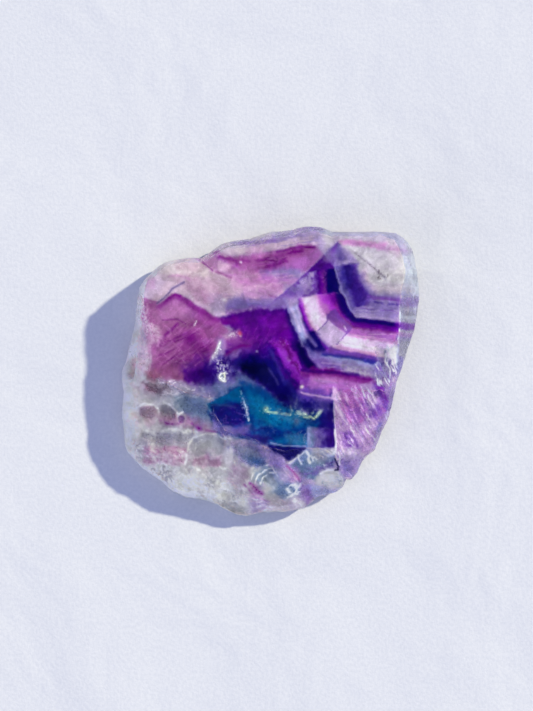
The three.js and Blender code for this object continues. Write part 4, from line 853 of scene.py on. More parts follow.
    # magenta streaks by the break
    stone.stroke("magenta", "-6.6,-36 -4.8,-38 -2.6,-39.4", 1.5, 0.5, 0.85, 0.5, 0.45)
    stone.stroke("magenta", "-8.6,-36 -6.4,-38.8 -4,-40.6 -0.6,-41.8", 0.5, 0.35, 0.5, 0.3, 0.5)
    stone.stroke("dark magenta", "-2.2,-41.2 -0.4,-41.6", 0.4, 0.3, 0.6)
    stone.patch("slate", "-23,-4 -17.6,-0.4 -14,2.4 -13.4,-2.4 -17,-5 -22,-8", 0.8, 0.35, 0.4, 1.0)
    stone.patch("umber", "-42.4,-11 -34,-11.6 -29,-12 -30,-16.4 -36,-19.6 -42,-16", 0.8, 0.3, 0.5, 1.0)
    stone.patch("umber", "-22.6,-15.4 -17.6,-15.8 -18,-20.6 -22.4,-20", 0.8, 0.35, 0.4, 1.0)
    stone.patch("smoke", "-14,-18.8 -4,-21.4 -2.6,-28 -7,-28 -12,-25", 1.0, 0.4, 0.4, 1.2)
    stone.veins("frost and glint", "-45,-22 -34,-30 -20,-36 -8,-42 -16,-43 -32,-37 -43,-30", -35, 3.2, 1.3, 0.13,
        0.5, 1.0, 83)
    stone.veins("pewter", "-45,-20 -34,-29 -20,-35 -8,-41 -16,-43 -32,-37 -43,-30", -50, 2.6, 1.5,
        0.16, 0.5, 0.8, 87)
    stone.patch("umber", "-41,-3.6 -36,-5 -33,-3.4 -32.6,-5.6 -35.6,-7.2 -39,-5.6", 0.5, 0.6)
    stone.patch("chalk", "-33,-31 -26,-33 -17,-37.6 -10,-39 -8,-42 -18,-41 -27,-37.6", 0.9, 0.5, 0.6,
        1.0)
    stone.stroke("frost and glint", "-31,-35.9 -25.8,-38.7 -20.2,-39.5 -17.8,-41.1", 0.5, 0.35, 0.8, 0.4, 0.4)
    stone.stroke("frost and glint", "-26.6,-33.1 -25,-35.9 -21.8,-37.9 -19.8,-37.1", 0.45, 0.3, 0.8, 0.3, 0.4)
    stone.glow("cream", (-27, -35.6), 2.6, 0.35)


def paint_teal_window(stone):
    """The clear blue-green window below the heart."""
    stone.patch("slate", "-18,-0.6 -12,0.6 -6.6,-0.4 -4.6,-3.6 -8.6,-6 -14,-7.6 -18.4,-7", 0.9, 0.85)
    stone.patch("cool lilac", "-17.6,-1.4 -12.6,-0.8 -11.2,-4.4 -13.6,-6.4 -17.4,-6", 0.9, 0.45, 0.5,
        0.9)
    stone.specks("lavender", "-17.4,-2 -10,-2 -10.6,-6.6 -17,-6.6", 0.8, 0.3, 0.6, 0.5, 81)
    stone.patch("deep teal", "-9,-3.4 -5,-5 -1,-6.4 4,-11 8,-11 11,-14 12,-17 11.8,-24 5,-25 -8,-21.6 "
        "-16,-20 -20,-13 -18,-9", 0.9, 0.95)
    stone.patch("teal", "-8.6,-4.6 -5,-4.6 0,-6.6 3.4,-9.6 8,-10.6 10.6,-15 9,-18 2,-18.4 -5,-15 "
        "-6.4,-11", 1.0, 0.85, 0.3, 2.0)
    stone.patch("bright teal", "-3.6,-8.8 0.6,-10.8 5,-13.2 10,-14 9.4,-16.4 1,-17.2 -4.6,-15 "
        "-6.6,-11", 1.2, 0.7, 0.4, 1.6)
    stone.patch("bright teal", "-8.6,-7 -5,-6.2 -2.6,-9 -3,-12 -6.6,-12.4", 1.0, 0.5, 0.4, 1.2)
    stone.patch("navy", "2.6,-7.4 7.6,-6.8 10,-6.8 14,-8.4 13.6,-12.8 8.6,-12 5,-11.4 2.6,-10", 0.8,
        0.85)
    stone.ribbon(["teal", "deep teal", "navy", "deep teal", "teal", "bright teal"], "-5,-16.6 1,-17.4 "
        "11,-17.6", "-6,-21 0,-22.6 11.4,-23.6", 0.8, 0.75, 0.5, 1.4)
    stone.patch("deep teal", "-3.4,-18.2 3.6,-18.4 5.6,-20.4 1,-21.6 -3,-21", 1.0, 0.6, 0.3, 1.2)
    stone.patch("bright teal", "4.6,-19.2 8.4,-19.4 11.4,-20.4 11,-22.6 6,-21.9", 0.8, 0.55, 0.3, 1.0)
    # the blue quadrilateral
    quad = trace("-20.2,-10.2 -16.4,-8.4 -10,-4.8 -8.6,-8 -7,-13 -6.2,-16.4 -9.4,-18.2 -12,-18.2 "
        "-15.8,-17.8 -19,-14.4")
    stone.patch("teal", quad, 0.35, 0.95)
    stone.patch("deep teal", "-18.6,-10.8 -13.4,-9 -9,-9.6 -6.4,-15.4 -9.4,-18.2 -15.8,-17.8 "
        "-19.4,-13.6", 0.6, 0.8)
    stone.patch("indigo", "-18.4,-11.8 -14,-10.4 -9,-10.6 -7.4,-15.6 -9.6,-17.8 -15.6,-17.4 "
        "-18.6,-14.4", 0.8, 0.8, 0.4, 1.2)
    stone.specks("violet", "-16.6,-12 -8.6,-12 -8.6,-17 -15.6,-17", 0.9, 0.24, 0.5, 0.5, 85)
    stone.stroke("slate violet", "-18.8,-13.6 -16.8,-16.4 -14.6,-18.6", 1.6, 0.6, 0.6)
    stone.stroke("slate", "-19.6,-10.8 -15.4,-10.6 -11.4,-11.6", 0.5, 0.5, 0.4)
    stone.stroke("frost and glint", "-9.6,-6.4 -8.9,-8.6 -8.2,-11 -7.5,-13.4 -7,-15.6", 0.6, 0.3, 0.9, 0.2, 0.6)
    stone.specks("cool lilac", "-10,-8 -8.2,-8 -6.4,-15 -8.6,-15", 0.4, 0.4, 0.4, 0.7, 86)
    stone.stroke("frost and glint", "-19.8,-11 -19.2,-13.4 -17.6,-16", 0.35, 0.3, 0.5, 0.2, 0.6)
    stone.patch("lavender", "-18.4,-15.6 -15.8,-17.4 -11,-17.8 -6.6,-17 -8,-20.6 -14.6,-20.8 "
        "-18.6,-18.2", 0.6, 0.9)
    stone.patch("indigo", "-8.6,-19.8 -4,-20.2 0.4,-21.6 -1.6,-23.2 -7,-21.2", 0.6, 0.8)
    # right side of the window
    stone.patch("navy", "11.4,-9.6 15,-9.4 20.4,-9.6 20.2,-18.8 15,-18.8 11.8,-17.4", 0.6, 0.95)
    stone.patch("teal", "11,-14.6 14,-15.4 15.6,-17 14,-18.4 11.4,-18", 0.9, 0.75, 0.3, 1.2)
    stone.patch("royal violet", "9.6,-8.4 20,-8.6 20,-11 14,-11.2 10,-10", 0.7, 0.7, 0.3, 1.2)
    stone.patch("slate violet", "13,-9.2 19.4,-9.4 19.2,-10.6 14,-10.4", 0.5, 0.5, 0.3, 0.9)
    stone.ribbon(["cool lilac", "steel", "slate violet", "royal violet", "indigo", "indigo"], "11.5,-18 "
        "11.6,-24.4", "20.2,-18.4 20.6,-24.6", 0.4, 0.95, 0.3, 1.2)
    stone.patch("lavender", "12.6,-18.6 16,-18.8 19.4,-19 18.4,-20.4 13,-20.4", 0.7, 0.6, 0.6, 0.9)
    stone.streaks("lavender", "12,-19 18,-19 18.4,-23.6 12,-24", 84, 3, 0.4, 0.3, 0.4, 0.5, 82)
    # mint branch, flecks and loops: the mint marks are painted glints off the cracks
    stone.stroke("teal", "-1,-13 3,-13.8 7,-13.6 11,-14.8 15,-14", 1.8, 1.0, 0.5)
    stone.stroke("mint", "-1,-12.9 2,-13.3 4.4,-13.7 6.2,-13.9 7.5,-13 9.4,-12.9 10,-14.3 12.2,-14.8 "
        "14.2,-14.8 15.2,-13.2 16.6,-12.2", 0.8, 0.35, 0.85, 0.0, 0.5)
    stone.stroke("mint", "9.8,-13 11.8,-13.6 13.6,-13.2 14.4,-11.9 16.3,-12.2 15,-14.6", 0.5, 0.3, 0.8,
        0.0, 0.6)
    stone.stroke("mint", "8.2,-7.8 8.3,-9.6 8,-11.6", 0.8, 0.4, 0.8, 0.4, 0.6)
    stone.stroke("mint", "6.4,-10.4 7,-12.8", 0.35, 0.28, 0.7)
    stone.glow("steel", (8.3, -15.9), 1.3, 0.85)
    stone.patch("slate", "13.4,-9.4 18.4,-9.8 18.4,-12.8 14,-13.4", 0.7, 0.4, 0.4, 0.9)
    stone.glow("mint", (-1.4, -12.0), 0.9, 0.85, 1.2, 70)
    stone.specks("mint", "-3,-11 4,-12.4 12,-13 13,-15.6 0,-15 -4,-13.4", 0.5, 0.14, 0.4, 0.6, 83)
    stone.specks("steel", "-7,-5 -1,-7 8,-12 10.6,-18 10,-22 -3,-20 -6,-12", 0.9, 0.14, 0.6, 0.3, 84)
    stone.patch("deep teal", "-6,-3.4 0,-5 0.4,-8 -5,-7", 0.8, 0.5)
    stone.patch("royal violet", "-12.6,-16.8 -7,-17.2 -7,-20.4 -12,-20.2", 0.7, 0.45)
    stone.veins("steel", "5.4,-19.4 11.4,-19 11.4,-23.4 6.4,-22.8", 60, 2.4, 1.0, 0.2, 0.4, 0.8, 88)
    # thin light edge and the navy below it
    stone.patch("navy", "-1,-23.4 4,-23.9 11.2,-24.2 11.6,-25.4 8.2,-27.4 6,-29 4.4,-27.8 0,-25", 0.4,
        0.9)
    stone.stroke("cool lilac", "0,-22.9 4,-23.6 8,-23.8 11.2,-24", 0.35, 0.25, 0.75)
    stone.patch("steel", "1.6,-12 6.4,-12.4 6.4,-15.8 2.4,-15.6", 0.7, 0.45, 0.4, 1.0)
    stone.patch("steel", "4.8,-19.8 10.6,-20.4 10.8,-23.6 5.4,-23.4", 0.6, 0.45, 0.4, 1.0)
    stone.patch("slate", "5.6,-7.4 10,-8.4 9.8,-12 6,-12", 0.7, 0.35, 0.4, 0.9)
    stone.patch("slate violet", "13.6,-8.4 18.4,-9 18.4,-11.4 14,-12", 0.6, 0.45, 0.4, 0.9)
    stone.patch("indigo", "18,-12.6 20.3,-12.6 20.3,-20 18,-20", 0.5, 0.4)
    stone.specks("ink", "-6,-8 8,-8 14,-14 10,-19 -4,-17", 0.9, 0.25, 0.8, 0.22, 120)


def paint_bottom_glass(stone):
    """Blue and grey broken glass below the lower edge."""
    stone.patch("lavender", "-1,-25.2 4.4,-27.6 6.2,-29.6 3.6,-31 -0.6,-30", 0.6, 0.85)
    stone.patch("slate violet", "0,-25.6 4,-27.8 5,-29.6 1,-29.4", 0.7, 0.5)
    stone.ribbon(["ash", "cool lilac", "steel", "steel", "slate violet", "steel"], "5.4,-29.2 8.4,-27.2 "
        "11.4,-24.8 20.4,-24.8", "7.4,-32.2 10.8,-34.4 14.6,-34.8 20.4,-30.4", 0.5, 0.92, 0.5, 1.4)
    stone.patch("ash", "12.6,-25.4 14,-24.9 20.4,-24.9 20.2,-26.7 14.6,-26.8", 0.6, 0.7, 0.6, 1.0)
    stone.patch("steel", "9.2,-26.6 12.6,-25 14.4,-27 12.6,-29.6 9,-29", 0.8, 0.7)
    stone.patch("ash", "14,-25.6 20,-25.6 19.6,-28 15,-29.4 13.4,-28", 0.8, 0.45, 0.6, 0.9)
    stone.veins("frost and glint", "8.4,-27 20,-25.2 19,-29.6 13,-32.6 9,-30.6", -66, 3, 1.4, 0.14, 0.4, 0.8, 91)
    stone.stroke("frost and glint", "8.9,-26.8 9.1,-28.4 9.8,-29.8", 0.5, 0.3, 0.85)
    stone.stroke("frost and glint", "11.6,-25.8 12.2,-27.2 11.9,-28.2 12.5,-29.4", 0.8, 0.3, 0.95)
    stone.stroke("frost and glint", "16.2,-25.4 17.4,-26.6 19.6,-26.8 20.6,-25.8", 0.5, 0.3, 0.8, 0.0, 0.3)
    stone.stroke("frost and glint", "6,-29.4 8.8,-27.4 11.4,-25.2", 0.35, 0.3, 0.6)
    # pale chip
    stone.patch("ash", "14.6,-33.4 16.2,-32.4 19,-31.2 22,-32.4 24,-35 23,-37.4 19,-38 15.4,-37 "
        "13.6,-35", 0.6, 0.9)
    stone.patch("frost and glint", "17.6,-32.4 21.6,-32.4 23.4,-35 21.6,-36 18.4,-34.4", 0.8, 0.6, 0.6, 0.9)
    # painted highlight along the chip's top edge
    stone.stroke("frost and glint", "15.8,-32.9 18.4,-31.7 21,-31.9 23,-33.4", 0.6, 0.35, 0.85)
    stone.veins("steel", "14,-32 24,-33 23,-38 14,-37", -40, 3, 1.6, 0.12, 0.4, 0.5, 92)
    stone.patch("cool lilac", "11,-36.6 15,-37.2 19,-38 23.6,-37.6 20,-41 12.6,-40.8", 0.7, 0.9)
    stone.patch("slate violet", "9,-31.6 10.4,-33.4 11.4,-35.4 9.6,-35.2", 0.6, 0.6)
    # lilac glass with the magenta plane
    stone.patch("lavender", "3.4,-30.4 6.6,-30 9.4,-33.6 9.4,-36 5,-36 3,-34.6", 0.7, 0.85)
    stone.stroke("magenta", "5.2,-30.2 6.8,-31.8 8.2,-33.4 9.6,-35.4", 0.7, 0.4, 0.75, 0.3)
    stone.streaks("white lilac", "3,-30.6 7,-31 9.6,-36 4,-36", -50, 4, 0.4, 0.3, 0.4, 0.6, 94)
    stone.patch("steel", "0.6,-34.6 5,-35.4 10,-35.8 9.6,-39.8 4,-41.2 0,-39.2", 0.7, 0.9)
    stone.patch("slate", "2.6,-36 5.4,-36.4 5.6,-38.6 2.8,-38.8", 0.8, 0.5, 0.3, 1.0)
    stone.patch("ash", "-2.6,-35.2 1.2,-34.4 1.8,-40.4 -1.4,-40.4", 0.8, 0.7, 0.4, 1.0)
    # grey foot
    stone.patch("quartz grey", "-4,-41.4 1,-40.8 10,-40 13,-41 10.4,-46 0,-47 -8,-46", 0.9, 0.85, 0.3,
        1.6)
    stone.patch("lavender", "-7.4,-40.6 -1,-41.4 0,-43.8 -6,-46", 1.0, 0.6)
    stone.patch("slate violet", "3,-41.6 8.6,-41.4 7,-44 3,-44", 0.9, 0.2, 0.6, 0.9)
    stone.stroke("frost and glint", "5.2,-37.8 6.4,-39.4 7.8,-41.8", 1.3, 0.6, 0.85, 0.2, 0.4)
    stone.stroke("frost and glint", "6.6,-36.6 8.6,-38.2 9.4,-36.4", 0.6, 0.4, 0.8, 0.2, 0.5)
    stone.veins("frost and glint", "4.4,-36.6 9.8,-35.8 10,-42 5.4,-42.8", 50, 2.4, 1.1, 0.2, 0.4, 0.95, 95)
    stone.glow("frost and glint", (8.2, -36.6), 0.8, 0.8, 1.4, -40)
    stone.stroke("frost and glint", "-4.4,-43.6 -2,-43 0.4,-43.6", 0.5, 0.4, 0.6, 0.2, 0.6)
    stone.veins("frost and glint", "-6,-40.6 10,-39 11,-44 -2,-46", -15, 3, 1.6, 0.12, 0.5, 0.8, 93)
    stone.patch("violet", "10.2,-36.8 12.4,-36.8 13.2,-41 11.6,-43 10.2,-40.6", 0.6, 0.6)
    stone.patch("lavender", "9.2,-36.4 10.6,-36.6 11.4,-42.6 9.8,-41.4", 0.6, 0.6)
    stone.patch("ash", "12.6,-24.6 18.4,-24.4 18.6,-29 13,-29", 0.7, 0.5, 0.5, 0.9)
    stone.patch("ash", "1.6,-31.6 5.8,-31.4 6,-35.4 2,-35.8", 0.7, 0.55, 0.5, 0.9)
    stone.patch("mauve", "6.2,-31.6 9.6,-31.4 9.8,-35.6 6.4,-36", 0.7, 0.45, 0.4, 0.9)
    stone.patch("pale ash", "17.6,-31 22.4,-31.6 22.6,-35 18,-36.4", 0.7, 0.6, 0.4, 0.9)
    stone.patch("orchid", "-6.6,-36 -2.6,-36.4 -2,-40 -6.4,-40", 0.8, 0.5, 0.6, 0.8)
    # painted glint off a crack, in pale green
    stone.stroke("mint", "7.8,-13.7 11,-13.6 14,-15 15.8,-12.4", 0.6, 0.3, 0.9, 0.2, 0.4)
    stone.glow("steel", (12, -10.8), 3.0, 0.3)
    stone.patch("cool lilac", "-8,-17 -1,-16.6 0,-22 -5,-24", 1.4, 0.2, 0.8, 1.2)
    stone.patch("pale ash", "-24,-41.4 -17,-41 -14.6,-44.6 -18,-47 -23,-44.6", 1.2, 0.45, 0.6, 1.0)


def paint_cleaved_corner(stone):
    """The orchid band along the heart's lower edge and the cleaved corner under it."""
    stone.ribbon(["violet", "royal violet", "navy", "navy"], "8.4,-6 13,-7.2 20.2,-8.6 24.6,-9.2",
        "8.4,-11.6 13,-11.8 20.2,-11.6 22,-11", 0.5, 0.85, 0.4, 1.0)
    stone.ribbon(["purple", "magenta", "orchid", "bright orchid", "orchid", "violet", "royal violet"],
        "9.4,0.6 14,0.9 20,0.5 26,-0.8 33.4,-2.6", "9.6,-6.6 13,-7.4 20,-8.6 25,-9.2 30,-9", 0.5, 0.95)
    stone.patch("violet", "9.4,-3.4 13,-4.6 17,-5.6 16.6,-8.4 9.6,-7", 0.9, 0.55, 0.3, 1.2)
    stone.patch("purple", "7.4,-0.4 11.4,-0.2 12.6,-2 10.8,-4.4 8,-3.2", 0.9, 0.6, 0.3, 1.0)
    stone.ribbon(["orchid", "blush", "orchid"], "13,-1.6 16,-1.6 22,-2.2", "13,-4 16,-4.2 22,-4.8",
        0.7, 0.6)
    stone.ribbon(["dark magenta", "dark magenta", "magenta"], "12.6,1.2 20,0.8 26,-0.8 33.4,-2.4",
        "12.6,-1 20,-1.4 26,-2.2 33.4,-3.8", 0.5, 0.85, 0.3, 1.0)
    stone.stroke("indigo", "10,0.6 14,0.1 20,-0.4 28,-1", 0.9, 0.5, 0.6)
    stone.stroke("pale pink", "9.6,-6.7 13,-7.4 16.4,-8.1 19.4,-8.5", 0.45, 0.35, 0.75)
    stone.stroke("lavender", "14,-2.6 20,-3.6 26,-4", 0.3, 0.3, 0.4)
    stone.glow("cream", (9.8, -4.8), 0.6, 0.95, 1.2, 30)
    # ground of the corner
    stone.patch("dusty violet", "20.5,-9 22.6,-4.6 30,-4 34,-2.4 42,0 43,-14 38,-22 30,-34 25.4,-36 "
        "21.2,-27 20.7,-20", 0.35, 0.95)
    stone.patch("orchid", "21.4,-3.6 27.6,-3.8 30,-6.4 31,-13.6 29.2,-16.2 25.6,-16.8 23.2,-12.4 "
        "22.4,-9", 0.6, 0.92)
    stone.patch("white lilac", "19.8,-4.8 21,-5.2 22.8,-9.2 19.4,-9.2", 0.4, 0.8)
    stone.stroke("magenta", "25.4,-2.4 30,-3.4 33.6,-3.4", 1.2, 0.6, 0.6, 0.1, 0.4)
    # the steep plane on the left of it
    stone.streaks("violet", "20.4,-10.6 22.6,-11 25,-16.8 20.6,-18", -82, 4, 0.45, 0.3, 0.4, 0.65, 107)
    stone.stroke("magenta", "22.3,-10.4 23.6,-12.8 25.6,-16.6", 0.35, 0.25, 0.55)
    stone.stroke("pearl", "20.8,-10.6 22.4,-13.6 24.4,-16.8", 0.6, 0.4, 0.5, 0.3)
    stone.streaks("white lilac", "20.6,-18.8 21.8,-19 24.4,-25.6 23.8,-26.6 21,-26", -70, 4, 0.4, 0.3,
        0.3, 0.8, 113)
    stone.stroke("frost and glint", "20.4,-18.4 20.7,-22 21,-26.2", 0.5, 0.3, 0.8)
    # dark slivers and bright ones
    stone.patch("violet", "22,-19.2 25.4,-19.4 29.4,-24.6 28.6,-27.4 24.2,-25.4", 0.5, 0.85, 0.4, 1.0)
    stone.patch("deep purple", "23,-20.2 24.6,-21 26.4,-23.8 24.8,-23.4", 0.6, 0.45)
    stone.streaks("deep purple", "22.4,-19.6 25,-20.2 28.6,-25.4 25,-24", -58, 4, 0.5, 0.3, 0.4, 0.5,
        110)
    stone.streaks("frost and glint", "29,-4.6 31.6,-5 34,-9 34.4,-11.2 32.6,-12.6 29.8,-9.4", -60, 4, 0.5, 0.4,
        0.4, 0.9, 112)
    stone.streaks("violet", "28.6,-7.6 31.2,-8.8 32.2,-14 29.2,-14.4", -60, 4, 0.45, 0.4, 0.3, 0.6, 102)
    stone.patch("violet", "37,-3.6 39.4,-4 40,-12.4 38,-13 37.2,-8", 0.7, 0.4, 0.6, 1.2)
    stone.patch("slate violet", "38.6,-7 41.4,-6 41,-14 38.6,-13.6", 0.6, 0.6, 0.4, 1.0)
    stone.streaks("white lilac", "22.6,-4.4 29.4,-4.6 30,-12 26,-15", -58, 5, 0.5, 0.22, 0.4, 0.7, 108)
    stone.streaks("white lilac", "25,-16 30,-13 34.6,-15 34,-21 30,-27 25.6,-20", -58, 5, 0.5, 0.24,
        0.4, 0.6, 103)
    stone.streaks("violet", "25,-17 30,-14 36,-15 35,-20 29.6,-27 25.4,-20", -58, 5, 0.6, 0.3, 0.4,
        0.4, 104)
    stone.streaks("frost and glint", "26,-14 37,-8 38,-18 30,-26 24,-26", -58, 4, 0.4, 0.12, 0.3, 0.8, 105)
    stone.patch("violet", "32.4,-3.6 36.2,-4.6 37.4,-8.4 38.4,-12.2 36.8,-13.4 34.8,-9.6 33.4,-6.6",
        0.5, 0.95)
    stone.streaks("purple", "32.4,-3.6 36.2,-4.6 37.8,-8.4 38.4,-12.2 36.8,-13.4 34.8,-9.6", -62, 3,
        0.6, 0.4, 0.4, 0.6, 114)
    stone.streaks("white lilac", "29.4,-5.4 33.4,-6 34.6,-10.6 31.6,-10.6", -60, 4, 0.5, 0.4, 0.4, 0.6,
        115)
    stone.patch("violet", "31.4,-12.4 34.6,-10.5 35.8,-13.4 33.4,-15.4 31.6,-14.4", 0.5, 0.85)
    stone.streaks("magenta", "31.6,-12 34.4,-11 37.6,-8 38,-12 34,-15", -58, 3, 0.5, 0.3, 0.4, 0.5, 111)
    stone.patch("slate violet", "34,-16.4 36.4,-15.8 35.6,-19.4 33.6,-20.4", 0.5, 0.7)
    stone.patch("frost and glint", "24.4,-24.8 28.4,-25 29.6,-27.4 24.8,-27.4", 0.6, 0.7, 0.7, 0.8)
    stone.stroke("frost and glint", "20.3,-9.6 20.5,-14 20.7,-20 21,-25.6", 0.25, 0.22, 0.5)
    # chips at the right hand corner
    stone.patch("slate violet", "32.6,1.6 36,4 41,4.6 43,4 42.6,-1 37,-2.6 33.6,-4.4 32.6,-1.6", 0.5,
        0.85, 0.5, 1.2)
    stone.patch("frost and glint", "36.6,7.2 40.2,8.2 41.2,5.2 40.4,2.6 38,4.2", 0.6, 0.95)
    stone.stroke("slate", "36.8,6.4 37,3.8 38,1.8", 0.6, 0.4, 0.6, 0.2)
    stone.veins("frost and glint", "32.8,2.6 40.6,4.6 41,-2 38,-4.6 34,-4.4", -66, 4, 1.1, 0.2, 0.4, 0.95, 106)
    stone.stroke("frost and glint", "37,5.6 36.8,3.4 38.2,1 38.4,-1.6", 0.5, 0.25, 0.85, 0.2)
    stone.streaks("violet", "33,1 41,2 41.6,-3 37,-6 34,-3", -60, 4, 0.5, 0.3, 0.4, 0.65, 109)
    # the tip
    stone.patch("lavender", "21.4,-26.6 28.4,-26.4 31,-28.6 29.6,-33 26,-36 22.6,-33.6 21.2,-30", 0.5,
        0.85)
    stone.patch("slate violet", "22.4,-28.6 24.8,-28.4 26.4,-31 25,-33.2 23.2,-32.2", 0.5, 0.8)
    stone.stroke("ink", "20.5,-27.8 21.2,-29.4 21.8,-30.6 21.7,-31.6 20.8,-31.7", 0.5, 0.25, 0.9)
    stone.stroke("frost and glint", "21.8,-25.8 22,-27.8 22.1,-29.8", 0.4, 0.25, 0.8)
    stone.patch("pale ash", "22,-24 29.4,-24.4 28,-28 22.6,-28", 0.7, 0.4, 0.6, 0.8)
    stone.streaks("violet", "22,-9 31,-9 30,-18 24,-18", -62, 5, 0.7, 0.4, 0.6, 0.5, 117)
    stone.streaks("white lilac", "21,-6 36,-5 35,-16 30,-27 22,-26", -62, 6, 0.36, 0.24, 0.5, 0.42, 118)
    stone.patch("violet", "32,-8.4 38.6,-8 37,-15.6 32.6,-16", 1.0, 0.28, 0.4, 1.0)
    stone.patch("lavender", "13.4,-8.2 19,-8.8 18.8,-12.2 13.6,-12.8", 0.8, 0.4, 0.5, 1.0)
    stone.patch("steel", "5.6,-8 10,-8.6 10.4,-15 7,-15", 0.8, 0.3, 0.5, 1.0)


PAINTERS = (
    paint_upper_left,
    paint_upper_bands,
    paint_left_block,
    paint_skin,
    paint_teal_window,
    paint_heart,
    paint_right,
    paint_star,
    paint_right_ends,
    paint_bottom_glass,
    paint_cleaved_corner,
)


# ---- The stone's surface
def merged_copy(solid):
    """A copy of the CAD solid with its loose triangles joined."""
    mesh = solid.data.copy()
    mesh.materials.clear()
    shape = bmesh.new()
    shape.from_mesh(mesh)
    bmesh.ops.remove_doubles(shape, verts=shape.verts, dist=1e-6)
    shape.to_mesh(mesh)
    surface = BVHTree.FromBMesh(shape)
    shape.free()
    return mesh, surface


def even_faces(mesh, name):
    """The closed stone covered with small even faces."""
    stone = bpy.data.objects.new(name, mesh)
    bpy.context.scene.collection.objects.link(stone)
    even = stone.modifiers.new("even faces", "REMESH")
    even.mode = "VOXEL"
    even.voxel_size = STONE_GRAIN * MM
    even.adaptivity = 0.0
    depsgraph = bpy.context.evaluated_depsgraph_get()
    made = bpy.data.meshes.new_from_object(stone.evaluated_get(depsgraph))
    stone.modifiers.clear()
    stone.data = made
    bpy.data.meshes.remove(mesh)
    return stone


def settle(shape, surface):
    """Brings every corner back onto the CAD solid's own surface."""
    for corner in shape.verts:
        corner.co = surface.find_nearest(corner.co)[0]


def soften_skin(shape):
    """Rounds over the broken skin that looks up, leaving the polished face flat."""
    level = FACE_LEVEL * MM
    skin = [corner for corner in shape.verts if corner.normal.z > LOOKS_UP and corner.co.z < level]
    for _ in range(SKIN_SOFTENING):
        bmesh.ops.smooth_vert(
            shape, verts=skin, factor=0.5, use_axis_x=True, use_axis_y=True, use_axis_z=True
        )
    shape.normal_update()


def finer_above(stone, surface):
    """Halves the faces that look up, where the banding has to be sharp."""
    shape = bmesh.new()
    shape.from_mesh(stone.data)
    settle(shape, surface)
    shape.normal_update()
    above = {edge for face in shape.faces if face.normal.z > LOOKS_UP for edge in face.edges}
    bmesh.ops.subdivide_edges(shape, edges=list(above), cuts=1, use_grid_fill=True)
    bmesh.ops.triangulate(shape, faces=shape.faces)
    settle(shape, surface)
    bmesh.ops.dissolve_degenerate(shape, dist=2e-6, edges=shape.edges)
    shape.normal_update()
    soften_skin(shape)
    shape.to_mesh(stone.data)
    shape.free()


def corners_of(mesh):
    """Where each corner lies, in millimetres, and which way it faces."""
    places = np.empty(len(mesh.vertices) * 3)
    mesh.vertices.foreach_get("co", places)
    facing = np.empty(len(mesh.vertices) * 3)
    mesh.vertices.foreach_get("normal", facing)
    return places.reshape(-1, 3) / MM, facing.reshape(-1, 3)


def keep_value(mesh, name, values):
    """Stores one number for each corner, for the material and the breaks to read."""
    kept = mesh.attributes.new(name, "FLOAT", "POINT")
    kept.data.foreach_set("value", np.asarray(values, dtype=np.float32))


def mark_broken(mesh):
    """One on the broken skin and rim, nothing on the polished face and the sawn underside."""
    height = corners_of(mesh)[0][:, 2]
    below_face = step(0.0, 0.5, THICKNESS - height)
    above_cut = step(0.0, 0.8, height)
    keep_value(mesh, "broken", below_face * above_cut)


def new_input(tree, name, kind, value=None):
    """Adds a named input to a node tree and gives its identifier."""
    socket = tree.interface.new_socket(name=name, in_out="INPUT", socket_type=kind)
    if value is not None:
        socket.default_value = value
    return socket.identifier


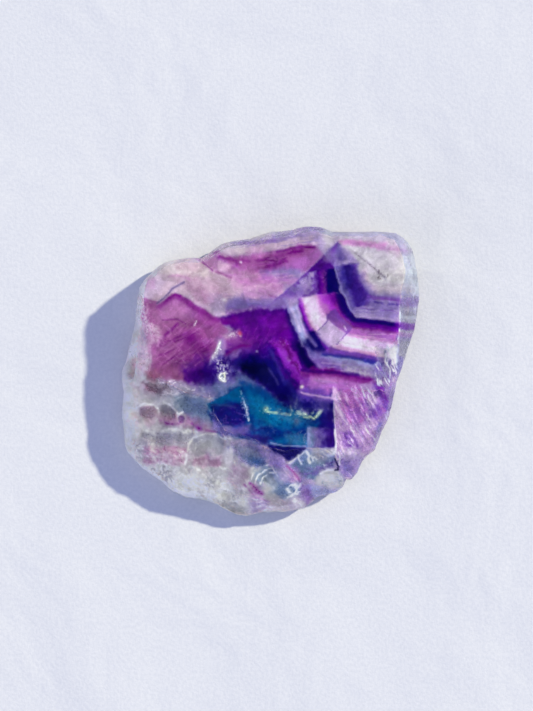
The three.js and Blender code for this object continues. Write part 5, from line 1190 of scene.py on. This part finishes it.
def breaks_tree(finish):
    """Small hackly breaks and shell ripples raised on the broken skin."""
    tree = bpy.data.node_groups.new("hackly breaks", "GeometryNodeTree")
    new_input(tree, "Stone", "NodeSocketGeometry")
    inputs = {
        "Depth": new_input(tree, "Depth", "NodeSocketFloat", 0.0003),
        "Width": new_input(tree, "Width", "NodeSocketFloat", 0.0026),
        "Seed": new_input(tree, "Seed", "NodeSocketFloat", 1.0),
    }
    tree.interface.new_socket(name="Stone", in_out="OUTPUT", socket_type="NodeSocketGeometry")
    nodes, links = tree.nodes, tree.links
    given = nodes.new("NodeGroupInput")
    result = nodes.new("NodeGroupOutput")

    def maths(operation, first, second):
        node = nodes.new("ShaderNodeMath")
        node.operation = operation
        for socket, value in zip(node.inputs, (first, second)):
            if isinstance(value, (int, float)):
                socket.default_value = value
            else:
                links.new(value, socket)
        return node.outputs[0]

    def pattern(kind, place, **settings):
        """A noise or a field of cells, whose fourth dimension is the seed."""
        node = nodes.new("ShaderNodeTex" + kind)
        setattr(node, kind.lower() + "_dimensions", "4D")
        for name, value in settings.items():
            node.inputs[name].default_value = value
        links.new(place, node.inputs["Vector"])
        links.new(given.outputs["Seed"], node.inputs["W"])
        return node

    place = nodes.new("GeometryNodeInputPosition")
    grow = nodes.new("ShaderNodeVectorMath")
    grow.operation = "SCALE"
    links.new(place.outputs[0], grow.inputs[0])
    links.new(maths("DIVIDE", 1.0, given.outputs["Width"]), grow.inputs["Scale"])

    bend = pattern("Noise", grow.outputs[0], Scale=0.7, Detail=2.0)
    shift = nodes.new("ShaderNodeVectorMath")
    shift.operation = "MULTIPLY_ADD"
    shift.inputs[1].default_value = (1.5, 1.5, 1.5)
    links.new(bend.outputs["Color"], shift.inputs[0])
    links.new(grow.outputs[0], shift.inputs[2])

    shells = pattern("Voronoi", shift.outputs[0])
    chips = pattern("Voronoi", shift.outputs[0], Scale=2.6)
    grit = pattern("Noise", grow.outputs[0], Scale=4.5, Detail=4.0)
    height = maths("MULTIPLY", maths("SUBTRACT", shells.outputs["Distance"], 0.45), 0.9)
    small = maths("MULTIPLY", maths("SUBTRACT", chips.outputs["Distance"], 0.45), 0.45)
    fine = maths("MULTIPLY", maths("SUBTRACT", grit.outputs[0], 0.5), 0.7)
    height = maths("ADD", maths("ADD", height, small), fine)
    where = nodes.new("GeometryNodeInputNamedAttribute")
    where.data_type = "FLOAT"
    where.inputs["Name"].default_value = "broken"
    height = maths("MULTIPLY", height, where.outputs["Attribute"])
    height = maths("MULTIPLY", height, given.outputs["Depth"])
    outward = nodes.new("ShaderNodeVectorMath")
    outward.operation = "SCALE"
    links.new(nodes.new("GeometryNodeInputNormal").outputs[0], outward.inputs[0])
    links.new(height, outward.inputs["Scale"])
    raised = nodes.new("GeometryNodeSetPosition")
    links.new(given.outputs["Stone"], raised.inputs["Geometry"])
    links.new(outward.outputs[0], raised.inputs["Offset"])
    whole = nodes.new("GeometryNodeRealizeInstances")
    links.new(raised.outputs[0], whole.inputs[0])
    coat = nodes.new("GeometryNodeSetMaterial")
    coat.inputs["Material"].default_value = finish
    links.new(whole.outputs[0], coat.inputs["Geometry"])
    links.new(coat.outputs[0], result.inputs[0])
    return tree, inputs


def break_skin(stone, finish):
    """Raises the fine breaks on the skin and puts the finish on the stone."""
    tree, inputs = breaks_tree(finish)
    breaks = stone.modifiers.new("hackly breaks", "NODES")
    breaks.node_group = tree
    breaks[inputs["Depth"]] = BREAK_DEPTH * MM
    breaks[inputs["Width"]] = BREAK_SIZE * MM
    breaks[inputs["Seed"]] = BREAK_SEED
    depsgraph = bpy.context.evaluated_depsgraph_get()
    before = stone.data
    made = bpy.data.meshes.new_from_object(stone.evaluated_get(depsgraph))
    stone.modifiers.clear()
    stone.data = made
    bpy.data.meshes.remove(before)


def stay_in_bounds(mesh):
    """Holds the breaks inside the solid's own box."""
    low, high = np.array(cad_low) / MM, np.array(cad_high) / MM
    places = np.clip(corners_of(mesh)[0], low, high)
    mesh.vertices.foreach_set("co", (places * MM).ravel())
    mesh.update()


def to_linear(rgb):
    """Screen colours as amounts of light."""
    return np.where(rgb <= 0.04045, rgb / 12.92, ((rgb + 0.055) / 1.055) ** 2.4)


def left_rim_painted_light(x, y, depth, sideways):
    """How far the rounded rim at the far left is painted paler, as painted light on its shaded slope; its
    inner edge wanders in and out.
    """
    wander = 1.8 * rough(x / 3, y / 3, 78)
    across = step(RIM_STARTS, RIM_FULL, x + wander)
    return RIM_PAINTED_LIGHT * across * step(0.0, 0.5, depth) * (1 - sideways)


def painted_light_on_slopes(x, y, facing, depth, sideways, rim):
    """Painted light: how far each corner is painted paler, standing in for light through the stone onto
    slopes the key light misses. The left-facing skin gets the most, the upright sides a little, in
    patches.
    """
    slanting = np.maximum(step(0.85, 0.35, facing[:, 2]) * step(0.0, 0.5, depth), rim)
    shaded_side = np.maximum(step(-0.5, 0.3, -1.2 * facing[:, 0] - 0.1 * facing[:, 1] - 0.4), rim)
    patchiness = 0.85 + 0.8 * rough(x / 1.3, y / 1.3, 77)
    return (0.30 * sideways + (0.05 + 0.60 * shaded_side) * slanting * patchiness)[:, None]


def sun_and_shade(facing, rim):
    """Evens out the key light on the slopes. Under other lights they come out uneven instead."""
    sunward = SUN_SIDE[0] * facing[:, 0] + SUN_SIDE[1] * facing[:, 1]
    slope = step(0.95, 0.6, facing[:, 2])
    away = np.maximum(step(0.0, 0.6, -sunward) * slope, rim)[:, None]
    towards = (step(0.1, 0.7, sunward) * slope)[:, None]
    return 1 + away * SHADE_TINT - towards * SUN_TINT


def paint_stone(mesh):
    """Lays the bands through the stone: they lean with depth, so the sides and back show them too."""
    places, facing = corners_of(mesh)
    x, y = places[:, 0], places[:, 1]
    depth = THICKNESS - places[:, 2]
    sideways = step(0.25, -0.05, facing[:, 2])
    lean = BAND_SLANT * depth * sideways
    paint = Paint(x + lean, y - lean)
    for painter in PAINTERS:
        painter(paint)
    paint.age()
    rgb = np.clip(paint.rgb, 0.0, 1.0)
    rim = left_rim_painted_light(x, y, depth, sideways)
    # painted light: shaded slopes and upright sides are painted paler
    rgb += (tint_of("weathered") - rgb) * painted_light_on_slopes(x, y, facing, depth, sideways, rim)
    rgb *= sun_and_shade(facing, rim)
    linear = np.ones((len(places), 4))
    linear[:, :3] = np.minimum(to_linear(rgb) * GLOW_FROM_WITHIN, 1.0)
    colour = mesh.attributes.new("bands", "FLOAT_COLOR", "POINT")
    colour.data.foreach_set("color", linear.astype(np.float32).ravel())
    keep_value(mesh, "frosted", np.clip(paint.frosted, 0, 1))


# ---- Finishes
class Shading:
    """A material's nodes, placed with few words."""

    def __init__(self, name):
        self.material = bpy.data.materials.new(name)
        self.material.use_nodes = True
        self.nodes = self.material.node_tree.nodes
        self.links = self.material.node_tree.links
        self.shader = self.nodes["Principled BSDF"]
        self.output = self.nodes["Material Output"]

    def node(self, kind, **settings):
        """A new node with these settings."""
        made = self.nodes.new(kind)
        for key, value in settings.items():
            setattr(made, key, value)
        return made

    def feed(self, socket, value):
        """Links another node's result into a socket, or sets its value."""
        if isinstance(value, bpy.types.NodeSocket):
            self.links.new(value, socket)
        else:
            socket.default_value = value

    def maths(self, operation, *values):
        made = self.node("ShaderNodeMath", operation=operation)
        for socket, value in zip(made.inputs, values):
            self.feed(socket, value)
        return made.outputs[0]

    def noise(self, place, scale, detail, roughness, twist=0.0):
        made = self.node("ShaderNodeTexNoise")
        self.feed(made.inputs["Vector"], place)
        self.feed(made.inputs["Scale"], scale)
        self.feed(made.inputs["Detail"], detail)
        self.feed(made.inputs["Roughness"], roughness)
        self.feed(made.inputs["Distortion"], twist)
        return made.outputs["Fac"]

    def cells(self, place, scale):
        made = self.node("ShaderNodeTexVoronoi", feature="F1")
        self.feed(made.inputs["Vector"], place)
        self.feed(made.inputs["Scale"], scale)
        return made.outputs["Distance"]

    def stretch(self, place, scale, turn):
        """The same places turned in the plane of the slice and squeezed."""
        made = self.node("ShaderNodeMapping")
        self.feed(made.inputs["Vector"], place)
        made.inputs["Rotation"].default_value = (0.0, 0.0, math.radians(turn))
        made.inputs["Scale"].default_value = scale
        return made.outputs[0]

    def span(self, value, old, new):
        """Carries a value smoothly from its old range to a new one."""
        made = self.node("ShaderNodeMapRange", interpolation_type="SMOOTHSTEP")
        for key, given in zip(("Value", "From Min", "From Max", "To Min", "To Max"), (value, *old, *new)):
            self.feed(made.inputs[key], given)
        return made.outputs[0]

    def scaled(self, colour, amount):
        """A colour made brighter or darker by an amount."""
        made = self.node("ShaderNodeVectorMath", operation="SCALE")
        self.feed(made.inputs[0], colour)
        self.feed(made.inputs["Scale"], amount)
        return made.outputs[0]

    def mix(self, factor, first, second):
        made = self.node("ShaderNodeMix", data_type="RGBA", blend_type="MIX")
        self.feed(made.inputs[0], factor)
        self.feed(made.inputs[6], first)
        self.feed(made.inputs[7], second)
        return made.outputs[2]

    def kept(self, name, output="Fac"):
        """A value or colour stored on the stone's corners."""
        return self.node("ShaderNodeAttribute", attribute_name=name).outputs[output]

    def bump(self, height, strength, depth, under=None):
        made = self.node("ShaderNodeBump")
        self.feed(made.inputs["Height"], height)
        self.feed(made.inputs["Strength"], strength)
        self.feed(made.inputs["Distance"], depth)
        if under is not None:
            self.links.new(under, made.inputs["Normal"])
        return made.outputs[0]


def fluorite_finish():
    """Clear banded crystal: light passes in and scatters, and the volume tints it."""
    s = Shading("banded_fluorite")
    place = s.node("ShaderNodeTexCoord").outputs["Object"]
    bands = s.kept("bands", "Color")
    broken = s.kept("broken")
    frosted = s.kept("frosted")

    # clouds, wisps and specks inside the stone
    clouds = s.noise(place, scale=210.0, detail=6.0, roughness=0.62, twist=0.6)
    shade = s.scaled(bands, s.span(clouds, (0.35, 0.62), (0.78, 1.12)))
    brighter = s.scaled(shade, 2.0)
    drawn_out = s.stretch(place, (1.0, 2.6, 1.0), 25.0)
    wisps = s.noise(drawn_out, scale=330.0, detail=8.0, roughness=0.66, twist=1.4)
    colour = s.mix(s.span(wisps, (0.55, 0.78), (0.0, 0.2)), shade, brighter)
    specks = s.noise(place, scale=1500.0, detail=3.0, roughness=0.7)
    colour = s.mix(s.span(specks, (0.55, 0.75), (0.0, 0.35)), colour, brighter)
    s.feed(s.shader.inputs["Base Color"], colour)

    # gloss: polished above, broken glassy on the skin, dull where it is frosted
    wear = s.noise(place, scale=700.0, detail=4.0, roughness=0.6)
    gloss = s.span(broken, (0.0, 1.0), (0.07, 0.26))
    gloss = s.maths("ADD", gloss, s.maths("MULTIPLY", frosted, 0.22))
    gloss = s.maths("ADD", gloss, s.span(wear, (0.45, 0.8), (0.0, 0.14)))
    s.feed(s.shader.inputs["Roughness"], gloss)

    # ripples, grains and hair scratches
    drawn_out = s.stretch(place, (1.0, 1.7, 1.3), -35.0)
    ripples = s.noise(drawn_out, scale=900.0, detail=5.0, roughness=0.65, twist=1.0)
    facets = s.cells(place, scale=760.0)
    relief = s.maths("ADD", ripples, s.maths("MULTIPLY", facets, 0.6))
    skin = s.bump(relief, s.span(broken, (0.0, 1.0), (0.0, 0.38)), depth=0.0004)
    pits = s.noise(place, scale=2600.0, detail=3.0, roughness=0.7)
    face = s.bump(pits, strength=0.06, depth=0.0001, under=skin)
    s.feed(s.shader.inputs["Normal"], face)

    s.shader.inputs["Metallic"].default_value = 0.0
    s.shader.inputs["IOR"].default_value = 1.434
    s.shader.inputs["Specular IOR Level"].default_value = 0.25
    s.shader.inputs["Specular Tint"].default_value = (0.15, 0.16, 0.45, 1.0)
    s.shader.inputs["Transmission Weight"].default_value = 0.40
    s.shader.inputs["Subsurface Weight"].default_value = 0.75
    s.shader.inputs["Subsurface Radius"].default_value = (1.0, 0.95, 1.0)
    s.shader.inputs["Subsurface Scale"].default_value = 0.010
    s.shader.subsurface_method = "RANDOM_WALK"
    absorption = s.node("ShaderNodeVolumeAbsorption")
    absorption.inputs["Color"].default_value = (0.80, 0.72, 0.92, 1.0)
    absorption.inputs["Density"].default_value = 14.0
    s.links.new(absorption.outputs[0], s.output.inputs["Volume"])
    return s.material


def floor_finish():
    """A pale matt floor, a little uneven."""
    s = Shading("pale_floor")
    place = s.node("ShaderNodeTexCoord").outputs["Object"]
    folds = s.noise(place, scale=22.0, detail=3.0, roughness=0.5, twist=0.4)
    nap = s.noise(place, scale=900.0, detail=4.0, roughness=0.6)
    darker, lighter = (0.56, 0.565, 0.595, 1.0), (0.61, 0.61, 0.63, 1.0)
    s.feed(s.shader.inputs["Base Color"], s.mix(s.span(nap, (0.3, 0.7), (0.0, 1.0)), darker, lighter))
    s.shader.inputs["Roughness"].default_value = 0.9
    soft = s.bump(folds, strength=0.5, depth=0.004)
    s.feed(s.shader.inputs["Normal"], s.bump(nap, strength=0.25, depth=0.0004, under=soft))
    return s.material


# ---- Putting it together
def lay_floor():
    mesh = bpy.data.meshes.new("floor")
    ends = ((-1, -1), (1, -1), (1, 1), (-1, 1))
    corners = [(x * FLOOR_HALF, y * FLOOR_HALF, -FLOOR_DROP) for x, y in ends]
    mesh.from_pydata(corners, [], [(0, 1, 2, 3)])
    floor = bpy.data.objects.new("floor", mesh)
    mesh.materials.append(floor_finish())
    bpy.context.scene.collection.objects.link(floor)


def lamp(name, energy, colour, width, towards, rise):
    """A far light, its width and its height over the floor in degrees."""
    light = bpy.data.lights.new(name, "SUN")
    light.energy = energy
    light.color = colour
    light.angle = math.radians(width)
    placed = bpy.data.objects.new(name, light)
    bpy.context.scene.collection.objects.link(placed)
    level = math.cos(math.radians(rise))
    up = Vector((towards[0] * level, towards[1] * level, math.sin(math.radians(rise))))
    placed.rotation_euler = up.to_track_quat("Z", "Y").to_euler()


def light_room():
    """A blue sky, a hard low sun and a broad faint light from the other side."""
    world = bpy.data.worlds.new("pale room")
    world.use_nodes = True
    sky = world.node_tree.nodes["Background"]
    sky.inputs["Color"].default_value = (0.49, 0.57, 1.0, 1.0)
    sky.inputs["Strength"].default_value = 0.745
    bpy.context.scene.world = world
    lamp("key light", energy=4.82, colour=(1.0, 0.965, 0.70), width=3.0, towards=SUN_SIDE, rise=33.0)
    lamp("fill light", energy=1.1, colour=(0.84, 0.87, 1.0), width=50.0, towards=(-0.80, -0.60), rise=18.0)
    bpy.context.scene.view_settings.view_transform = "Standard"


def camera_above():
    """Looks straight down from far off, as wide as the picture is tall."""
    lens = bpy.data.cameras.new("camera")
    tall = max(PICTURE) * MM_PER_PIXEL
    lens.sensor_width = SENSOR
    lens.lens = SENSOR * (CAMERA_HEIGHT - THICKNESS) / tall
    lens.clip_start = 0.01
    camera = bpy.data.objects.new("camera", lens)
    camera.location = (VIEW_CENTRE[0] * MM, VIEW_CENTRE[1] * MM, CAMERA_HEIGHT * MM)
    bpy.context.scene.collection.objects.link(camera)
    bpy.context.scene.camera = camera


def main():
    mesh, surface = merged_copy(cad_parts["fluorite_slice"])
    stone = even_faces(mesh, "banded_fluorite_stone")
    finer_above(stone, surface)
    mark_broken(stone.data)
    break_skin(stone, fluorite_finish())
    stay_in_bounds(stone.data)
    paint_stone(stone.data)
    stone.data.shade_smooth()
    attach(stone, "root")
    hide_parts("fluorite_slice")
    lay_floor()
    light_room()
    camera_above()


main()
